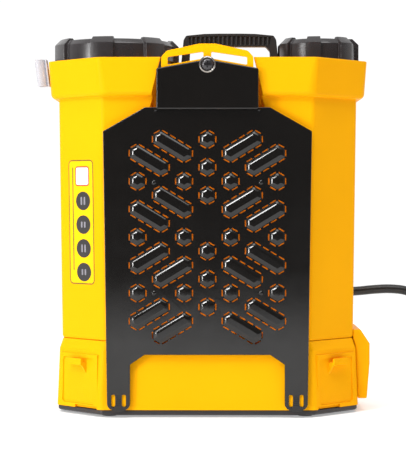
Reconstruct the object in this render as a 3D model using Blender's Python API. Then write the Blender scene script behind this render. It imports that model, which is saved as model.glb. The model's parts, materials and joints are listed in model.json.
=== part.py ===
"""Battery knapsack sprayer. Metres, +Z up, standing on z = 0, the wearer's side facing -Y, +X to the right."""

import math

import bmesh
import bpy
from mathutils import Matrix, Vector

# ---------------------------------------------------------------- driving dimensions
GAP = 0.0003  # clearance between pieces that rest on each other

CHAMFER = 0.056  # the four big corner chamfers in plan
CORNER_R = 0.010
TANK_Z = 0.0908
TANK_HALF_W = (0.1780, 0.1817)  # at the tank's foot and under the collar
TANK_HALF_D = (0.1063, 0.1080)
COLLAR_Z = 0.3880
COLLAR_LIP = 0.0092  # how far the collar stands out
COLLAR_CHAMFER = 0.0605
RIM_Z = 0.4300
RIM_HALF_W = 0.1952
RIM_HALF_D = 0.1215
RIM_CHAMFER = 0.0650
RIM_WALL = 0.0026
DECK_Z = 0.4080
TANK_WALL = 0.0030

BASE_Z = (0.0070, 0.0797, 0.0905)  # skirt's foot, its ledge and its top
BASE_HALF_W = (0.1850, 0.1822, 0.1785)
BASE_HALF_D = (0.1120, 0.1100, 0.1068)
BASE_WALL = 0.0030

FILL_LID = {"at": (-0.1145, -0.012), "radius": 0.0765, "neck": 0.0600, "top": 0.4565}
DOSING_LID = {"at": (0.1377, -0.012), "radius": 0.0487, "neck": 0.0370, "top": 0.4590}
LID_LUGS = 7
LID_FOOT_Z = 0.4125
NECK_WALL = 0.0040
NECK_TOP_Z = 0.4340
GASKET_H = 0.0025

PLATE_Y = -0.1185  # the back plate's outer face
PLATE_T = 0.0030
PLATE_FLANGE_Y = -0.1125
BUMP_PITCH_X = 0.0277
BUMP_PITCH_Z = 0.0333
BUMP_TOP_Z = 0.3322  # the centre column's highest bump
BUMP_FLATS = 0.0211
BUMP_H = 0.0050
HOOD_HALF_W = 0.0607
HOOD_Y = -0.1280
HOOD_Z = (0.3675, 0.4162, 0.4252)  # foot, shoulders and peak
LEG_X = 0.1060
LEG_HALF_W = 0.0137
SLOT_X = 0.0064  # strap slots each side of a leg's middle
SLOT_W = 0.0050
SLOT_Z = (0.0134, 0.0277)

SCREW_Z = 0.4205
HANDLE_X = 0.0278
HANDLE_HALF_W = 0.0590
HANDLE_PIVOT_Z = 0.4185
HANDLE_TOP_Z = 0.4693

FOOT_SPOTS = [(x, y) for x in (-0.118, 0.118) for y in (-0.092, 0.092)]
TRAY_SCREWS = [(x, y) for x in (-0.168, 0.168) for y in (-0.045, 0.045)]

PANEL_X = 0.1882  # back of the control panel
CONTROLS = {
    "switch": (-0.021, 0.0608),
    "knob": (0.020, 0.0600),
    "socket": (-0.021, 0.0310),
    "meter": (0.020, 0.0330),
}

HOSE_D = 0.012
ELBOW = (0.100, 0.131, 0.060)
HOSE_START_Z = 0.0883
COIL_AT = (0.348, 0.060)
COIL_R = 0.066  # middle of the coil's turns
COIL_FOOT_Z = 0.0015
COIL_TOP_Z = 0.0255
TAIL_R = 0.050
TAIL_Z = 0.0076
GUN_X = 0.439
GUN_Z = 0.0145
GUN_Y = 0.0700  # the end of the hose in the spray gun's nut

# The hose's way in X and Z from its nut over the crest and down onto the coil; Y goes from the elbow to the coil.
HOSE_ROUTE = [
    (0.1000, 0.0883), (0.1000, 0.0923), (0.1012, 0.1030), (0.1070, 0.1170), (0.1200, 0.1280), (0.1400, 0.1345),
    (0.1650, 0.1378), (0.1910, 0.1408), (0.2150, 0.1438), (0.2380, 0.1452), (0.2580, 0.1432),
    (0.2760, 0.1350), (0.2890, 0.1205), (0.2965, 0.1020), (0.3005, 0.0820), (0.3070, 0.0625),
    (0.3190, 0.0460), (0.3350, 0.0360), (0.3480, 0.0318),
]

YELLOW = (0.95, 0.60, 0.010)
BLACK = (0.012, 0.011, 0.010)
CHARCOAL = (0.025, 0.026, 0.028)
STEEL = (0.62, 0.61, 0.59)


# ---------------------------------------------------------------- modelling helpers
def paint(name, colour, roughness=0.4, metallic=0.0):
    """A Principled material, shared by every piece that asks for its name."""
    found = bpy.data.materials.get(name)
    if found:
        return found
    made = bpy.data.materials.new(name)
    made.use_nodes = True
    shader = made.node_tree.nodes["Principled BSDF"]
    shader.inputs["Base Color"].default_value = (*colour, 1.0)
    shader.inputs["Roughness"].default_value = roughness
    shader.inputs["Metallic"].default_value = metallic
    return made


def place(name, bm, material, origin=(0, 0, 0), smooth=35):
    """Turn a bmesh in world coordinates into an object whose origin is at the given point."""
    bmesh.ops.recalc_face_normals(bm, faces=bm.faces)
    bmesh.ops.translate(bm, verts=bm.verts, vec=-Vector(origin))
    mesh = bpy.data.meshes.new(name)
    bm.to_mesh(mesh)
    bm.free()
    mesh.shade_smooth()
    mesh.set_sharp_from_angle(angle=math.radians(smooth))
    piece = bpy.data.objects.new(name, mesh)
    piece.location = origin
    piece.data.materials.append(material)
    bpy.context.scene.collection.objects.link(piece)
    return piece


def bridge(bm, low, high):
    for i, corner in enumerate(low):
        j = (i + 1) % len(low)
        bm.faces.new((corner, low[j], high[j], high[i]))


def loft(name, rings, material, origin=(0, 0, 0), looped=False):
    """Skin a row of rings with equal counts, capped at both ends or closed on itself."""
    bm = bmesh.new()
    loops = [[bm.verts.new(point) for point in ring] for ring in rings]
    for low, high in zip(loops, loops[1:]):
        bridge(bm, low, high)
    if looped:
        bridge(bm, loops[-1], loops[0])
    else:
        bm.faces.new(loops[0][::-1])
        bm.faces.new(loops[-1])
    return place(name, bm, material, origin)


def along(axis, u, v, w):
    """A point at height w on an axis, u and v across it in X, Y, Z order."""
    return {"X": (w, u, v), "Y": (u, w, v), "Z": (u, v, w)}[axis]


def prism(name, outline, low, high, material, axis="Y", origin=(0, 0, 0)):
    """Extrude a flat outline along an axis."""
    rings = [[along(axis, u, v, w) for u, v in outline] for w in (low, high)]
    return loft(name, rings, material, origin)


def box(name, low, high, material, origin=(0, 0, 0)):
    outline = [(low[0], low[1]), (high[0], low[1]), (high[0], high[1]), (low[0], high[1])]
    return prism(name, outline, low[2], high[2], material, "Z", origin)


def turned(name, profile, material, at=(0, 0), axis="Z", steps=40, hollow=False, origin=(0, 0, 0)):
    """Turn a profile of (radius, height) pairs about an axis that crosses the plane at `at`."""
    turns = [2 * math.pi * k / steps for k in range(steps)]
    rings = [
        [along(axis, at[0] + r * math.cos(t), at[1] + r * math.sin(t), w) for t in turns] for r, w in profile
    ]
    return loft(name, rings, material, origin, looped=hollow)


def disc(name, radius, low, high, material, at=(0, 0), axis="Z", steps=32, origin=(0, 0, 0)):
    return turned(name, [(radius, low), (radius, high)], material, at, axis, steps, origin=origin)


def combine(target, other, operation="DIFFERENCE"):
    """Apply a Boolean and drop the second object."""
    modifier = target.modifiers.new("combine", "BOOLEAN")
    modifier.operation = operation
    modifier.object = other
    graph = bpy.context.evaluated_depsgraph_get()
    mesh = bpy.data.meshes.new_from_object(target.evaluated_get(graph))
    target.modifiers.clear()
    target.data = mesh
    bpy.data.objects.remove(other)
    return target


def gather(name, pieces, material):
    """Join separate closed bodies into one object, ready for one Boolean."""
    bm = bmesh.new()
    for piece in pieces:
        piece.data.transform(piece.matrix_basis)
        bm.from_mesh(piece.data)
        bpy.data.objects.remove(piece)
    return place(name, bm, material)


def octagon(half_w, half_d, z, chamfer=CHAMFER, radius=CORNER_R, steps=3):
    """Counter-clockwise ring of a chamfered rectangle whose eight corners are rounded."""
    reach = radius * math.tan(math.pi / 8)
    inner_w, inner_d = half_w - chamfer, half_d - chamfer
    corners = [(half_w, inner_d), (inner_w, half_d), (-inner_w, half_d), (-half_w, inner_d)]
    corners += [(-x, -y) for x, y in corners]
    ring = []
    for k, (x, y) in enumerate(corners):
        heading = math.radians(90 + 45 * k)
        centre_x = x - reach * math.cos(heading) - radius * math.sin(heading)
        centre_y = y - reach * math.sin(heading) + radius * math.cos(heading)
        for step in range(steps + 1):
            turn = heading - math.pi / 2 + math.pi / 4 * step / steps
            ring.append((centre_x + radius * math.cos(turn), centre_y + radius * math.sin(turn), z))
    return ring


def mix(low, high, share):
    return low + (high - low) * share


def smooth_route(points, spacing):
    """Points at about even spacing on a Catmull-Rom curve through the given ones."""
    route = [Vector(p) for p in points]
    route = [2 * route[0] - route[1], *route, 2 * route[-1] - route[-2]]
    made = []
    for a, b, c, d in zip(route, route[1:], route[2:], route[3:]):
        parts = max(1, round((c - b).length / spacing))
        for part in range(parts):
            t = part / parts
            made.append(
                0.5 * (2 * b + (c - a) * t + (2 * a - 5 * b + 4 * c - d) * t**2 + (3 * b - a - 3 * c + d) * t**3)
            )
    return [*made, route[-2]]


def tube(name, points, diameter, material, sides=2):
    """A round cord: a POLY curve with a bevel and filled caps."""
    curve = bpy.data.curves.new(name, "CURVE")
    curve.dimensions = "3D"
    curve.bevel_depth = diameter / 2
    curve.bevel_resolution = sides
    curve.use_fill_caps = True
    spline = curve.splines.new("POLY")
    spline.points.add(len(points) - 1)
    for slot, point in zip(spline.points, points):
        slot.co = (*point, 1.0)
    piece = bpy.data.objects.new(name, curve)
    curve.materials.append(material)
    bpy.context.scene.collection.objects.link(piece)
    return piece


# ---------------------------------------------------------------- materials
def yellow():
    return paint("tank_yellow", YELLOW, 0.35)


def black():
    return paint("gloss_black", BLACK, 0.22)


def charcoal():
    return paint("satin_black", CHARCOAL, 0.45)


def rubber():
    return paint("rubber_black", (0.02, 0.02, 0.02), 0.75)


def steel():
    return paint("steel", STEEL, 0.3, 1.0)


# ---------------------------------------------------------------- tank
def tank_rings(inset=0.0):
    """Rings of the tank's outside from its foot to the rim, or of its inside with an inset."""
    low_w, high_w = (w - inset for w in TANK_HALF_W)
    low_d, high_d = (d - inset for d in TANK_HALF_D)
    radius = CORNER_R - 0.6 * inset
    heights = [
        (TANK_Z + inset, low_w - 0.0050, low_d - 0.0050, CHAMFER),
        (TANK_Z + inset + 0.0030, low_w, low_d, CHAMFER),
        (COLLAR_Z - 0.004, high_w, high_d, CHAMFER),
    ]
    if inset:
        heights.append((DECK_Z - TANK_WALL, high_w, high_d, CHAMFER))
    else:
        heights += [
            (COLLAR_Z, high_w + 0.0015, high_d + 0.0015, CHAMFER),
            (COLLAR_Z + 0.0035, high_w + 0.0065, high_d + 0.0065, (CHAMFER + COLLAR_CHAMFER) / 2),
            (COLLAR_Z + 0.0080, high_w + COLLAR_LIP, high_d + COLLAR_LIP, COLLAR_CHAMFER),
            (RIM_Z, RIM_HALF_W, RIM_HALF_D, RIM_CHAMFER),
        ]
    return [octagon(w, d, z, chamfer, radius) for z, w, d, chamfer in heights]


def channel(name, grow=0.0):
    """The recess behind the hanger: narrow at the rim, wider at its foot, its walls sloping inwards."""
    foot, top = 0.3640 - grow, RIM_Z + 0.03
    rings = []
    for y, shrink in ((-0.140, 0.0), (-0.0995 + grow, 0.009)):
        low, high = 0.0766 - shrink + grow, 0.0519 - shrink + grow
        rings.append([(-low, y, foot + shrink / 2), (low, y, foot + shrink / 2), (high, y, top), (-high, y, top)])
    return loft(name, rings, yellow())


def make_tank():
    """Hollow tank with its collar, sunk deck, recess, two necks, handle ears, screw boss and outlet hole."""
    tank = loft("tank", tank_rings(), yellow())
    deck = [(RIM_HALF_W - RIM_WALL - s, RIM_HALF_D - RIM_WALL - s, z) for z, s in ((DECK_Z, 0.001), (0.46, 0))]
    combine(tank, loft("cut", [octagon(w, d, z, RIM_CHAMFER) for w, d, z in deck], yellow()))
    combine(tank, channel("cut"))
    combine(tank, box("cut", (-0.048, -0.14, 0.4120), (0.048, -0.09, 0.46), yellow()))
    for lid in (FILL_LID, DOSING_LID):
        neck = disc("add", lid["neck"], DECK_Z - 0.002, NECK_TOP_Z, yellow(), lid["at"], steps=48)
        combine(tank, neck, "UNION")
    for side in (-1, 1):
        x = HANDLE_X + side * 0.0472
        ear_top = HANDLE_PIVOT_Z + 0.006
        ear = box("add", (x - 0.0036, -0.007, DECK_Z - 0.002), (x + 0.0036, 0.007, ear_top), yellow())
        combine(tank, ear, "UNION")
    combine(tank, box("add", (-0.0085, -0.1192, 0.3960), (0.0085, -0.0960, 0.4270), yellow()), "UNION")
    cavity = loft("cut", tank_rings(TANK_WALL), yellow())
    combine(cavity, channel("keep", TANK_WALL))
    combine(tank, cavity)
    for lid in (FILL_LID, DOSING_LID):
        combine(tank, disc("cut", lid["neck"] - NECK_WALL, 0.39, 0.45, yellow(), lid["at"], steps=48))
    combine(tank, disc("cut", 0.0033, HANDLE_X - 0.06, HANDLE_X + 0.06, yellow(), (0, HANDLE_PIVOT_Z), "X", 16))
    combine(tank, disc("cut", 0.0022, -0.13, -0.1010, yellow(), (0, SCREW_Z), "Y", 16))
    combine(tank, disc("cut", 0.0085, 0.08, 0.10, yellow(), (0.085, 0.055), steps=24))
    return tank


# ---------------------------------------------------------------- base
def make_base():
    """Skirt under the tank, open below, with sunk corner panels and a strap hook in each front one."""
    inner = [(BASE_Z[0], 0), (BASE_Z[1] - 0.001, 1), (BASE_Z[2] - 0.0025, 2)]
    rings = [octagon(BASE_HALF_W[k], BASE_HALF_D[k], BASE_Z[k]) for k in (2, 1, 0)]
    rings += [octagon(BASE_HALF_W[k] - BASE_WALL, BASE_HALF_D[k] - BASE_WALL, z, radius=0.008) for z, k in inner]
    base = loft("base_housing", rings, yellow())
    middle = (BASE_HALF_W[0] - CHAMFER / 2 - 0.001, -BASE_HALF_D[0] + CHAMFER / 2 + 0.001)
    for side in (-1, 1):
        turn = Matrix.Rotation(side * math.pi / 4, 4, "Z")
        spot = Matrix.Translation((side * middle[0], middle[1], 0)) @ turn
        backing = box("add", (-0.034, -0.0005, 0.0100), (0.034, 0.0060, 0.0740), yellow())
        recess = box("cut", (-0.031, -0.0080, 0.0140), (0.031, 0.0015, 0.0700), yellow())
        hook_side = [(0.003, 0.0515), (-0.0085, 0.0590), (-0.0085, 0.0690), (-0.0060, 0.0690), (-0.0060, 0.0630)]
        hook = prism("add", [*hook_side, (0.003, 0.0630)], -0.013, 0.013, yellow(), "X")
        for piece, operation in ((backing, "UNION"), (recess, "DIFFERENCE"), (hook, "UNION")):
            piece.data.transform(spot)
            combine(base, piece, operation)
    combine(base, disc("cut", 0.0100, 0.08, 0.10, yellow(), (0.085, 0.055), steps=24))
    combine(base, disc("cut", 0.0070, 0.10, 0.12, yellow(), (ELBOW[0], ELBOW[2]), "Y", 24))
    return base


def make_tray():
    """Floor of the base on four rubber feet and a middle pad, held by four screws."""
    levels = ((0.0021, 0.1810, 0.1085), (0.0040, 0.1838, 0.1112), (0.0067, 0.1838, 0.1112))
    rings = [octagon(w, d, z) for z, w, d in levels]
    tray = loft("bottom_tray", rings, charcoal())
    for x, y in TRAY_SCREWS:
        combine(tray, disc("cut", 0.0047, 0.001, 0.0045, charcoal(), (x, y), steps=16))
    combine(tray, disc("add", 0.0120, 0.0, 0.0030, charcoal()), "UNION")
    for k, spot in enumerate(FOOT_SPOTS, 1):
        turned(f"rubber_foot_{k}", [(0.0088, 0.0), (0.0100, 0.0010), (0.0100, 0.0018)], rubber(), spot, steps=24)
    for k, spot in enumerate(TRAY_SCREWS, 1):
        disc(f"tray_screw_{k}", 0.0042, 0.0024, 0.0042, steel(), spot, steps=16)


# ---------------------------------------------------------------- back plate and hanger
def hexagon_bump(x, z, slope=0.0):
    """Outline of a pointy-topped hexagon, or of one stretched to the next lattice point on its right."""
    radius = BUMP_FLATS / math.sqrt(3)
    far = Vector((BUMP_PITCH_X, slope * BUMP_PITCH_Z / 2)) if slope else Vector((0, 0))
    tilt = math.atan2(far.y, far.x) if slope else math.radians(30)
    outline = []
    for k in range(6):
        turn = tilt + math.radians(60 * k - 60)
        centre = Vector((x, z)) + (far if k < 3 else Vector((0, 0)))
        outline.append((centre.x + radius * math.cos(turn), centre.y + radius * math.sin(turn)))
    return outline


def bump_places():
    """Every bump as (x, z, slope): six-sided ones, then long ones, on a lattice of offset columns."""
    column = [(0, j) for j in (0, 1, 2, 4, 5, 6)]
    column += [(k, j + 0.5) for k in (-3, -1, 1, 3) for j in (1, 3, 5)]
    made = [(k * BUMP_PITCH_X, BUMP_TOP_Z - j * BUMP_PITCH_Z, 0.0) for k, j in column]
    for row, slope in ((0, -1), (2, -1), (5, 1), (7, 1)):
        for k, step in ((-2, 0), (-3, 0.5)):
            z = BUMP_TOP_Z - (row - slope * step) * BUMP_PITCH_Z
            made.append((k * BUMP_PITCH_X, z, slope))
            made.append((-(k + 1) * BUMP_PITCH_X, z + slope * BUMP_PITCH_Z / 2, -slope))
    return made


def plate_outline():
    """Right half of the back plate from the middle of its top edge down to the middle of its lower edge."""
    leg = [
        (LEG_X - LEG_HALF_W * math.cos(a), 0.0165 - 0.0090 * math.sin(a))
        for a in (math.pi * k / 8 for k in range(9))
    ]
    right = [(0.0745, 0.3704), (0.1245, 0.3419), *leg[::-1], (0.0923, 0.0636), (0.0750, 0.0753)]
    return right + [(-x, z) for x, z in right[::-1]]


def make_plate():
    """Moulded back plate: skin with a turned-back edge, bumps, hood, legs and their strap slots."""
    outline = plate_outline()
    plate = prism("back_plate", outline, PLATE_Y, PLATE_FLANGE_Y, black())
    hollow = [(0.0726, 0.3679), (0.1214, 0.3399), (0.1188, 0.0770), (0.0750, 0.0790)]
    hollow += [(-x, z) for x, z in hollow[::-1]]
    combine(plate, prism("cut", hollow, PLATE_Y + PLATE_T, PLATE_FLANGE_Y + 0.01, black()))
    low, shoulder, peak = HOOD_Z
    crown = [(HOOD_HALF_W, low), (HOOD_HALF_W, shoulder), (0.0095, peak), (-0.0095, peak)]
    crown += [(-HOOD_HALF_W, shoulder), (-HOOD_HALF_W, low)]
    combine(plate, prism("add", crown, HOOD_Y, -RIM_HALF_D - 0.0004, black()), "UNION")
    sill = box("add", (-HOOD_HALF_W, HOOD_Y, low), (HOOD_HALF_W, PLATE_Y + PLATE_T, COLLAR_Z - 0.0045), black())
    combine(plate, sill, "UNION")
    inside = [(x * 0.955, z - 0.0028 if z > low else 0.3730) for x, z in crown]
    inside = [(x, z + (0.02 if z > 0.41 else 0)) for x, z in inside]
    combine(plate, prism("cut", inside, HOOD_Y + 0.0026, -0.10, black()))
    bumps = []
    for x, z, slope in bump_places():
        ring = hexagon_bump(x, z, slope)
        middle = Vector((sum(u for u, _ in ring), sum(v for _, v in ring))) / len(ring)
        top = [tuple(middle + (Vector(p) - middle) * 0.80) for p in ring]
        levels = ((PLATE_Y + 0.001, ring), (PLATE_Y, ring), (PLATE_Y - BUMP_H, top))
        rings = [[(u, y, v) for u, v in flat] for y, flat in levels]
        bumps.append(loft("bump", rings, black()))
    combine(plate, gather("add", bumps, black()), "UNION")
    for side in (-1, 1):
        for offset in (-SLOT_X, SLOT_X):
            x = side * LEG_X + offset
            slot = box("cut", (x - SLOT_W / 2, -0.13, SLOT_Z[0]), (x + SLOT_W / 2, -0.10, SLOT_Z[1]), black())
            combine(plate, slot)
    combine(plate, disc("cut", 0.0029, -0.14, -0.11, black(), (0, SCREW_Z), "Y", 16))
    return plate


def make_hanger():
    """Yellow tab with two strap slots, its cupped washer and its screw."""
    tab = [(0.0547, 0.3980), (0.0547, 0.4299), (0.0480, 0.4371), (0.0095, 0.4454)]
    tab += [(-x, z) for x, z in tab[::-1]]
    hanger = prism("strap_hanger", tab, -0.1246, -0.1198, yellow())
    for side in (-1, 1):
        slot = [(0.0047, 0.4359), (0.0047, 0.4279), (0.0472, 0.4203), (0.0472, 0.4296)]
        combine(hanger, prism("cut", [(side * x, z) for x, z in slot], -0.13, -0.11, yellow()))
    combine(hanger, disc("cut", 0.0029, -0.14, -0.11, yellow(), (0, SCREW_Z), "Y", 16))
    front = HOOD_Y - GAP
    cup = [(0.0030, front), (0.0099, front), (0.0099, front - 0.0012)]
    cup += [(0.0072, front - 0.0022), (0.0030, front - 0.0022)]
    turned("hanger_washer", cup, steel(), (0, SCREW_Z), "Y", hollow=True)
    head = front - 0.0025
    shape = [(0.0020, -0.1030), (0.0020, head), (0.0070, head), (0.0070, head - 0.0018), (0.0045, head - 0.0034)]
    turned("hanger_screw", shape, steel(), (0, SCREW_Z), "Y", steps=32)


# ---------------------------------------------------------------- lids
def lobed(at, radius, notch, z):
    """Ring with seven lugs: full radius on a lug, less by the notch between lugs."""
    ring = []
    for lug in range(LID_LUGS):
        for share in (-0.22, -0.08, 0.08, 0.22, 0.27, 0.42, 0.58, 0.73):
            turn = 2 * math.pi * (lug + share) / LID_LUGS - math.radians(100)
            r = radius - (notch if share > 0.25 else 0.0)
            ring.append((at[0] + r * math.cos(turn), at[1] + r * math.sin(turn), z))
    return ring


def make_lid(name, lid, gasket):
    """Screw lid with grip lugs over a neck, and the ring gasket under it."""
    at, radius, top = lid["at"], lid["radius"], lid["top"]
    bore = lid["neck"] + 0.0015
    roof = NECK_TOP_Z + GASKET_H + 2 * GAP
    rings = [lobed(at, radius - 0.014, 0.0, top - 0.0050), lobed(at, radius - 0.0100, 0.0, top - 0.0030)]
    rings += [lobed(at, radius - 0.0055, 0.004, top), lobed(at, radius - 0.0012, 0.004, top - 0.0035)]
    rings += [lobed(at, radius, 0.004, top - 0.009), lobed(at, radius, 0.004, LID_FOOT_Z)]
    rings += [lobed(at, bore, 0.0, LID_FOOT_Z), lobed(at, bore, 0.0, roof)]
    made = loft(name, rings, charcoal(), origin=(*at, LID_FOOT_Z))
    low = NECK_TOP_Z + GAP
    inner, outer = lid["neck"] - NECK_WALL, lid["neck"]
    ring = [(inner, low), (outer, low), (outer, low + GASKET_H), (inner, low + GASKET_H)]
    turned(gasket, ring, rubber(), at, hollow=True)
    return made


def make_strainer():
    """Basket that hangs from the neck's inner step inside the large opening."""
    at = FILL_LID["at"]
    bore = FILL_LID["neck"] - NECK_WALL
    top, foot = NECK_TOP_Z - 0.0020, 0.3550
    cup = [(0.0460, foot + 0.002), (bore - 0.0045, top), (bore - 0.0010, top), (bore - 0.0010, top - 0.0030)]
    cup += [(bore - 0.0030, top - 0.0030), (0.0480, foot)]
    turned("strainer_basket", cup, paint("strainer_grey", (0.35, 0.36, 0.37), 0.5), at, steps=32)


def make_vent():
    at = FILL_LID["at"]
    low = FILL_LID["top"] - 0.0050 + GAP
    turned("lid_vent", [(0.0060, low), (0.0060, low + 0.002), (0.0045, low + 0.0032)], rubber(), at, steps=24)


# ---------------------------------------------------------------- carrying handle
def make_handle():
    """Arched handle whose two legs turn on pins in the deck's ears."""
    w, foot, top = HANDLE_HALF_W, HANDLE_PIVOT_Z - 0.006, HANDLE_TOP_Z
    right = [(w, foot), (w, top - 0.012), (w - 0.003, top - 0.0045), (w - 0.009, top - 0.0012), (w * 0.4, top)]
    inner = [(w - 0.0075, foot), (w - 0.0085, top - 0.0200), (w - 0.013, top - 0.0150)]
    outline = [(HANDLE_X + x, z) for x, z in right]
    outline += [(HANDLE_X - x, z) for x, z in right[::-1]]
    outline += [(HANDLE_X - x, z) for x, z in inner]
    outline += [(HANDLE_X + x, z) for x, z in inner[::-1]]
    pivot = (HANDLE_X, 0, HANDLE_PIVOT_Z)
    handle = prism("carry_handle", outline, -0.007, 0.007, charcoal(), origin=pivot)
    axis = (0, HANDLE_PIVOT_Z)
    combine(handle, disc("cut", 0.0033, HANDLE_X - 0.07, HANDLE_X + 0.07, charcoal(), axis, "X", 16))
    for side, name in ((-1, "handle_pin_left"), (1, "handle_pin_right")):
        inner_x, outer_x = HANDLE_X + side * 0.0440, HANDLE_X + side * (w + 0.0004)
        head_x = outer_x + side * 0.0012
        shape = [(0.0030, inner_x), (0.0030, outer_x), (0.0045, outer_x), (0.0045, head_x)]
        turned(name, shape, steel(), axis, "X", 16)


# ---------------------------------------------------------------- lance clip
def make_clip():
    """White clip at the collar's left that grips the stowed lance, leaning with the collar's side."""
    white = paint("clip_white", (0.85, 0.86, 0.88), 0.4)
    centre, outer, inner = (-0.2085, -0.030), 0.0088, 0.0062
    opening = math.radians(48)
    sweep = [opening + (2 * math.pi - 2 * opening) * k / 18 + math.pi for k in range(19)]
    ring = [(centre[0] + outer * math.cos(a), centre[1] + outer * math.sin(a)) for a in sweep]
    ring += [(centre[0] + inner * math.cos(a), centre[1] + inner * math.sin(a)) for a in sweep[::-1]]
    clip = prism("lance_clip", ring, 0.4010, 0.4340, white, "Z")
    pad = box("add", (-0.2015, -0.040, 0.4010), (-0.1990, -0.020, 0.4340), white)
    combine(clip, pad, "UNION")
    lean = Matrix.Identity(4)
    lean[0][2] = -(RIM_HALF_W - TANK_HALF_W[1] - COLLAR_LIP) / (RIM_Z - COLLAR_Z - 0.008)
    foot = Matrix.Translation((0, 0, RIM_Z))
    clip.data.transform(foot @ lean @ foot.inverted())


# ---------------------------------------------------------------- control box
def make_control_box():
    """Box on the base's right side with a sunk panel, and its panel."""
    side = [(0.1853, 0.0155), (0.1965, 0.0155), (0.2000, 0.0594), (0.2000, 0.0833), (0.1885, 0.1008)]
    side += [(0.1792, 0.1008), (0.1792, 0.0905), (0.1826, 0.0797)]
    shell = prism("control_box", side, -0.048, 0.048, yellow(), "Y")
    combine(shell, box("cut", (PANEL_X - 2 * GAP, -0.0400, 0.0215), (0.21, 0.0400, 0.0785), yellow()))
    box("control_panel", (PANEL_X, -0.0395, 0.0220), (PANEL_X + 0.0018, 0.0395, 0.0780), charcoal())


def make_controls():
    """Rocker switch with its frame, speed knob, charging socket with its cap, and battery meter."""
    face = PANEL_X + 0.0018 + GAP
    y, z = CONTROLS["switch"]
    bezel = box("rocker_bezel", (face, y - 0.0095, z - 0.013), (face + 0.0032, y + 0.0095, z + 0.013), black())
    window = box("cut", (face - 0.01, y - 0.0070, z - 0.0104), (face + 0.01, y + 0.0070, z + 0.0104), black())
    combine(bezel, window)
    rocker = [(0.0004, -0.0096), (0.0034, -0.0098), (0.0048, 0.0), (0.0060, 0.0098), (0.0030, 0.0098), (0.0006, 0.0)]
    outline = [(face + u, z + v) for u, v in rocker]
    red = paint("switch_red", (0.55, 0.02, 0.015), 0.3)
    prism("rocker_switch", outline, y - 0.0066, y + 0.0066, red, "Y", origin=(face + 0.0038, y, z))
    y, z = CONTROLS["knob"]
    shape = [(0.0105, face), (0.0105, face + 0.0022), (0.0085, face + 0.0028), (0.0080, face + 0.0088)]
    knob = turned("speed_knob", shape, charcoal(), (y, z), "X", origin=(face, y, z))
    low, high = (face + 0.003, y - 0.0009, z + 0.004), (face + 0.0093, y + 0.0009, z + 0.0093)
    pointer = box("add", low, high, charcoal())
    pointer.data.transform(Matrix.Translation((-face, -y, -z)))
    pointer.location = knob.location
    bpy.context.view_layer.update()
    combine(knob, pointer, "UNION")
    y, z = CONTROLS["socket"]
    lip = face + 0.0026
    ring = [(0.0042, face), (0.0080, face), (0.0080, face + 0.0016), (0.0070, lip), (0.0042, lip)]
    turned("charge_socket", ring, charcoal(), (y, z), "X", hollow=True)
    low, hinge = face + 0.0026 + GAP, (face + 0.0030, y, z + 0.0128)
    cap = disc("socket_cap", 0.0080, low, low + 0.0020, rubber(), (y, z), "X")
    combine(cap, box("add", (low, y - 0.0025, z), (low + 0.0014, y + 0.0025, z + 0.0118), rubber()), "UNION")
    combine(cap, disc("add", 0.0018, y - 0.0040, y + 0.0040, rubber(), (hinge[0], hinge[2]), "Y", 16), "UNION")
    combine(cap, disc("add", 0.0038, low - 0.0022, low + 0.001, rubber(), (y, z), "X", 24), "UNION")
    cap.data.transform(Matrix.Translation(-Vector(hinge)))
    cap.location = hinge
    y, z = CONTROLS["meter"]
    meter = box("voltmeter", (face, y - 0.0125, z - 0.0075), (face + 0.0022, y + 0.0125, z + 0.0075), black())
    meter.modifiers.new("soften", "BEVEL").width = 0.0006


# ---------------------------------------------------------------- inside the base
def make_battery():
    """Sealed battery with two terminals, under a clamp."""
    low, high = Vector((-0.166, -0.047, 0.0072)), Vector((-0.015, 0.047, 0.0722))
    grey = paint("battery_grey", (0.08, 0.08, 0.09), 0.5)
    case = box("battery", low, high, grey)
    case.modifiers.new("soften", "BEVEL").width = 0.0015
    brass = paint("terminal_brass", (0.70, 0.45, 0.15), 0.35, 1.0)
    for y, name in ((-0.03, "battery_terminal_front"), (0.03, "battery_terminal_back")):
        box(name, (high.x + GAP, y - 0.0032, 0.0550), (high.x + 0.0065, y + 0.0032, 0.0558), brass)
    z = high.z + GAP
    strap = [(-0.062, z), (0.062, z), (0.062, z + 0.0025), (-0.062, z + 0.0025)]
    clamp = prism("battery_clamp", strap, -0.100, -0.080, charcoal(), "X")
    for side in (-1, 1):
        y = side * 0.0550
        leg = box("add", (-0.100, y - 0.007, 0.0072), (-0.080, y + 0.007, z + 0.001), charcoal())
        combine(clamp, leg, "UNION")


def make_pump():
    """Diaphragm pump: motor can, head, and the two short hoses that join it to the tank and the outlet."""
    axis = (0.0, 0.0400)
    turned("pump_motor", [(0.0185, 0.005), (0.0200, 0.008), (0.0200, 0.0680)], steel(), axis, "X", 32)
    head = box("pump_head", (0.0683, -0.030, 0.0150), (0.1120, 0.030, 0.0650), charcoal())
    combine(head, disc("add", 0.0055, 0.029, 0.0330, charcoal(), (0.085, 0.0530), "Y", 20), "UNION")
    combine(head, disc("add", 0.0055, 0.029, 0.0420, charcoal(), (ELBOW[0], ELBOW[2] - 0.012), "Y", 20), "UNION")
    clear = paint("clear_hose", (0.75, 0.78, 0.74), 0.3)
    rise = [(0.085, 0.0333, 0.0530), (0.085, 0.0380, 0.0530), (0.085, 0.0500, 0.0580), (0.085, 0.0550, 0.0690)]
    rise += [(0.085, 0.0550, 0.0739)]
    tube("suction_hose", smooth_route(rise, 0.006), 0.010, clear)
    x, _, z = ELBOW
    out = [(x, 0.0423, z - 0.012), (x, 0.055, z - 0.012), (x, 0.075, z - 0.006), (x, 0.090, z), (x, 0.0986, z)]
    tube("delivery_hose", smooth_route(out, 0.008), 0.010, clear)


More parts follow.
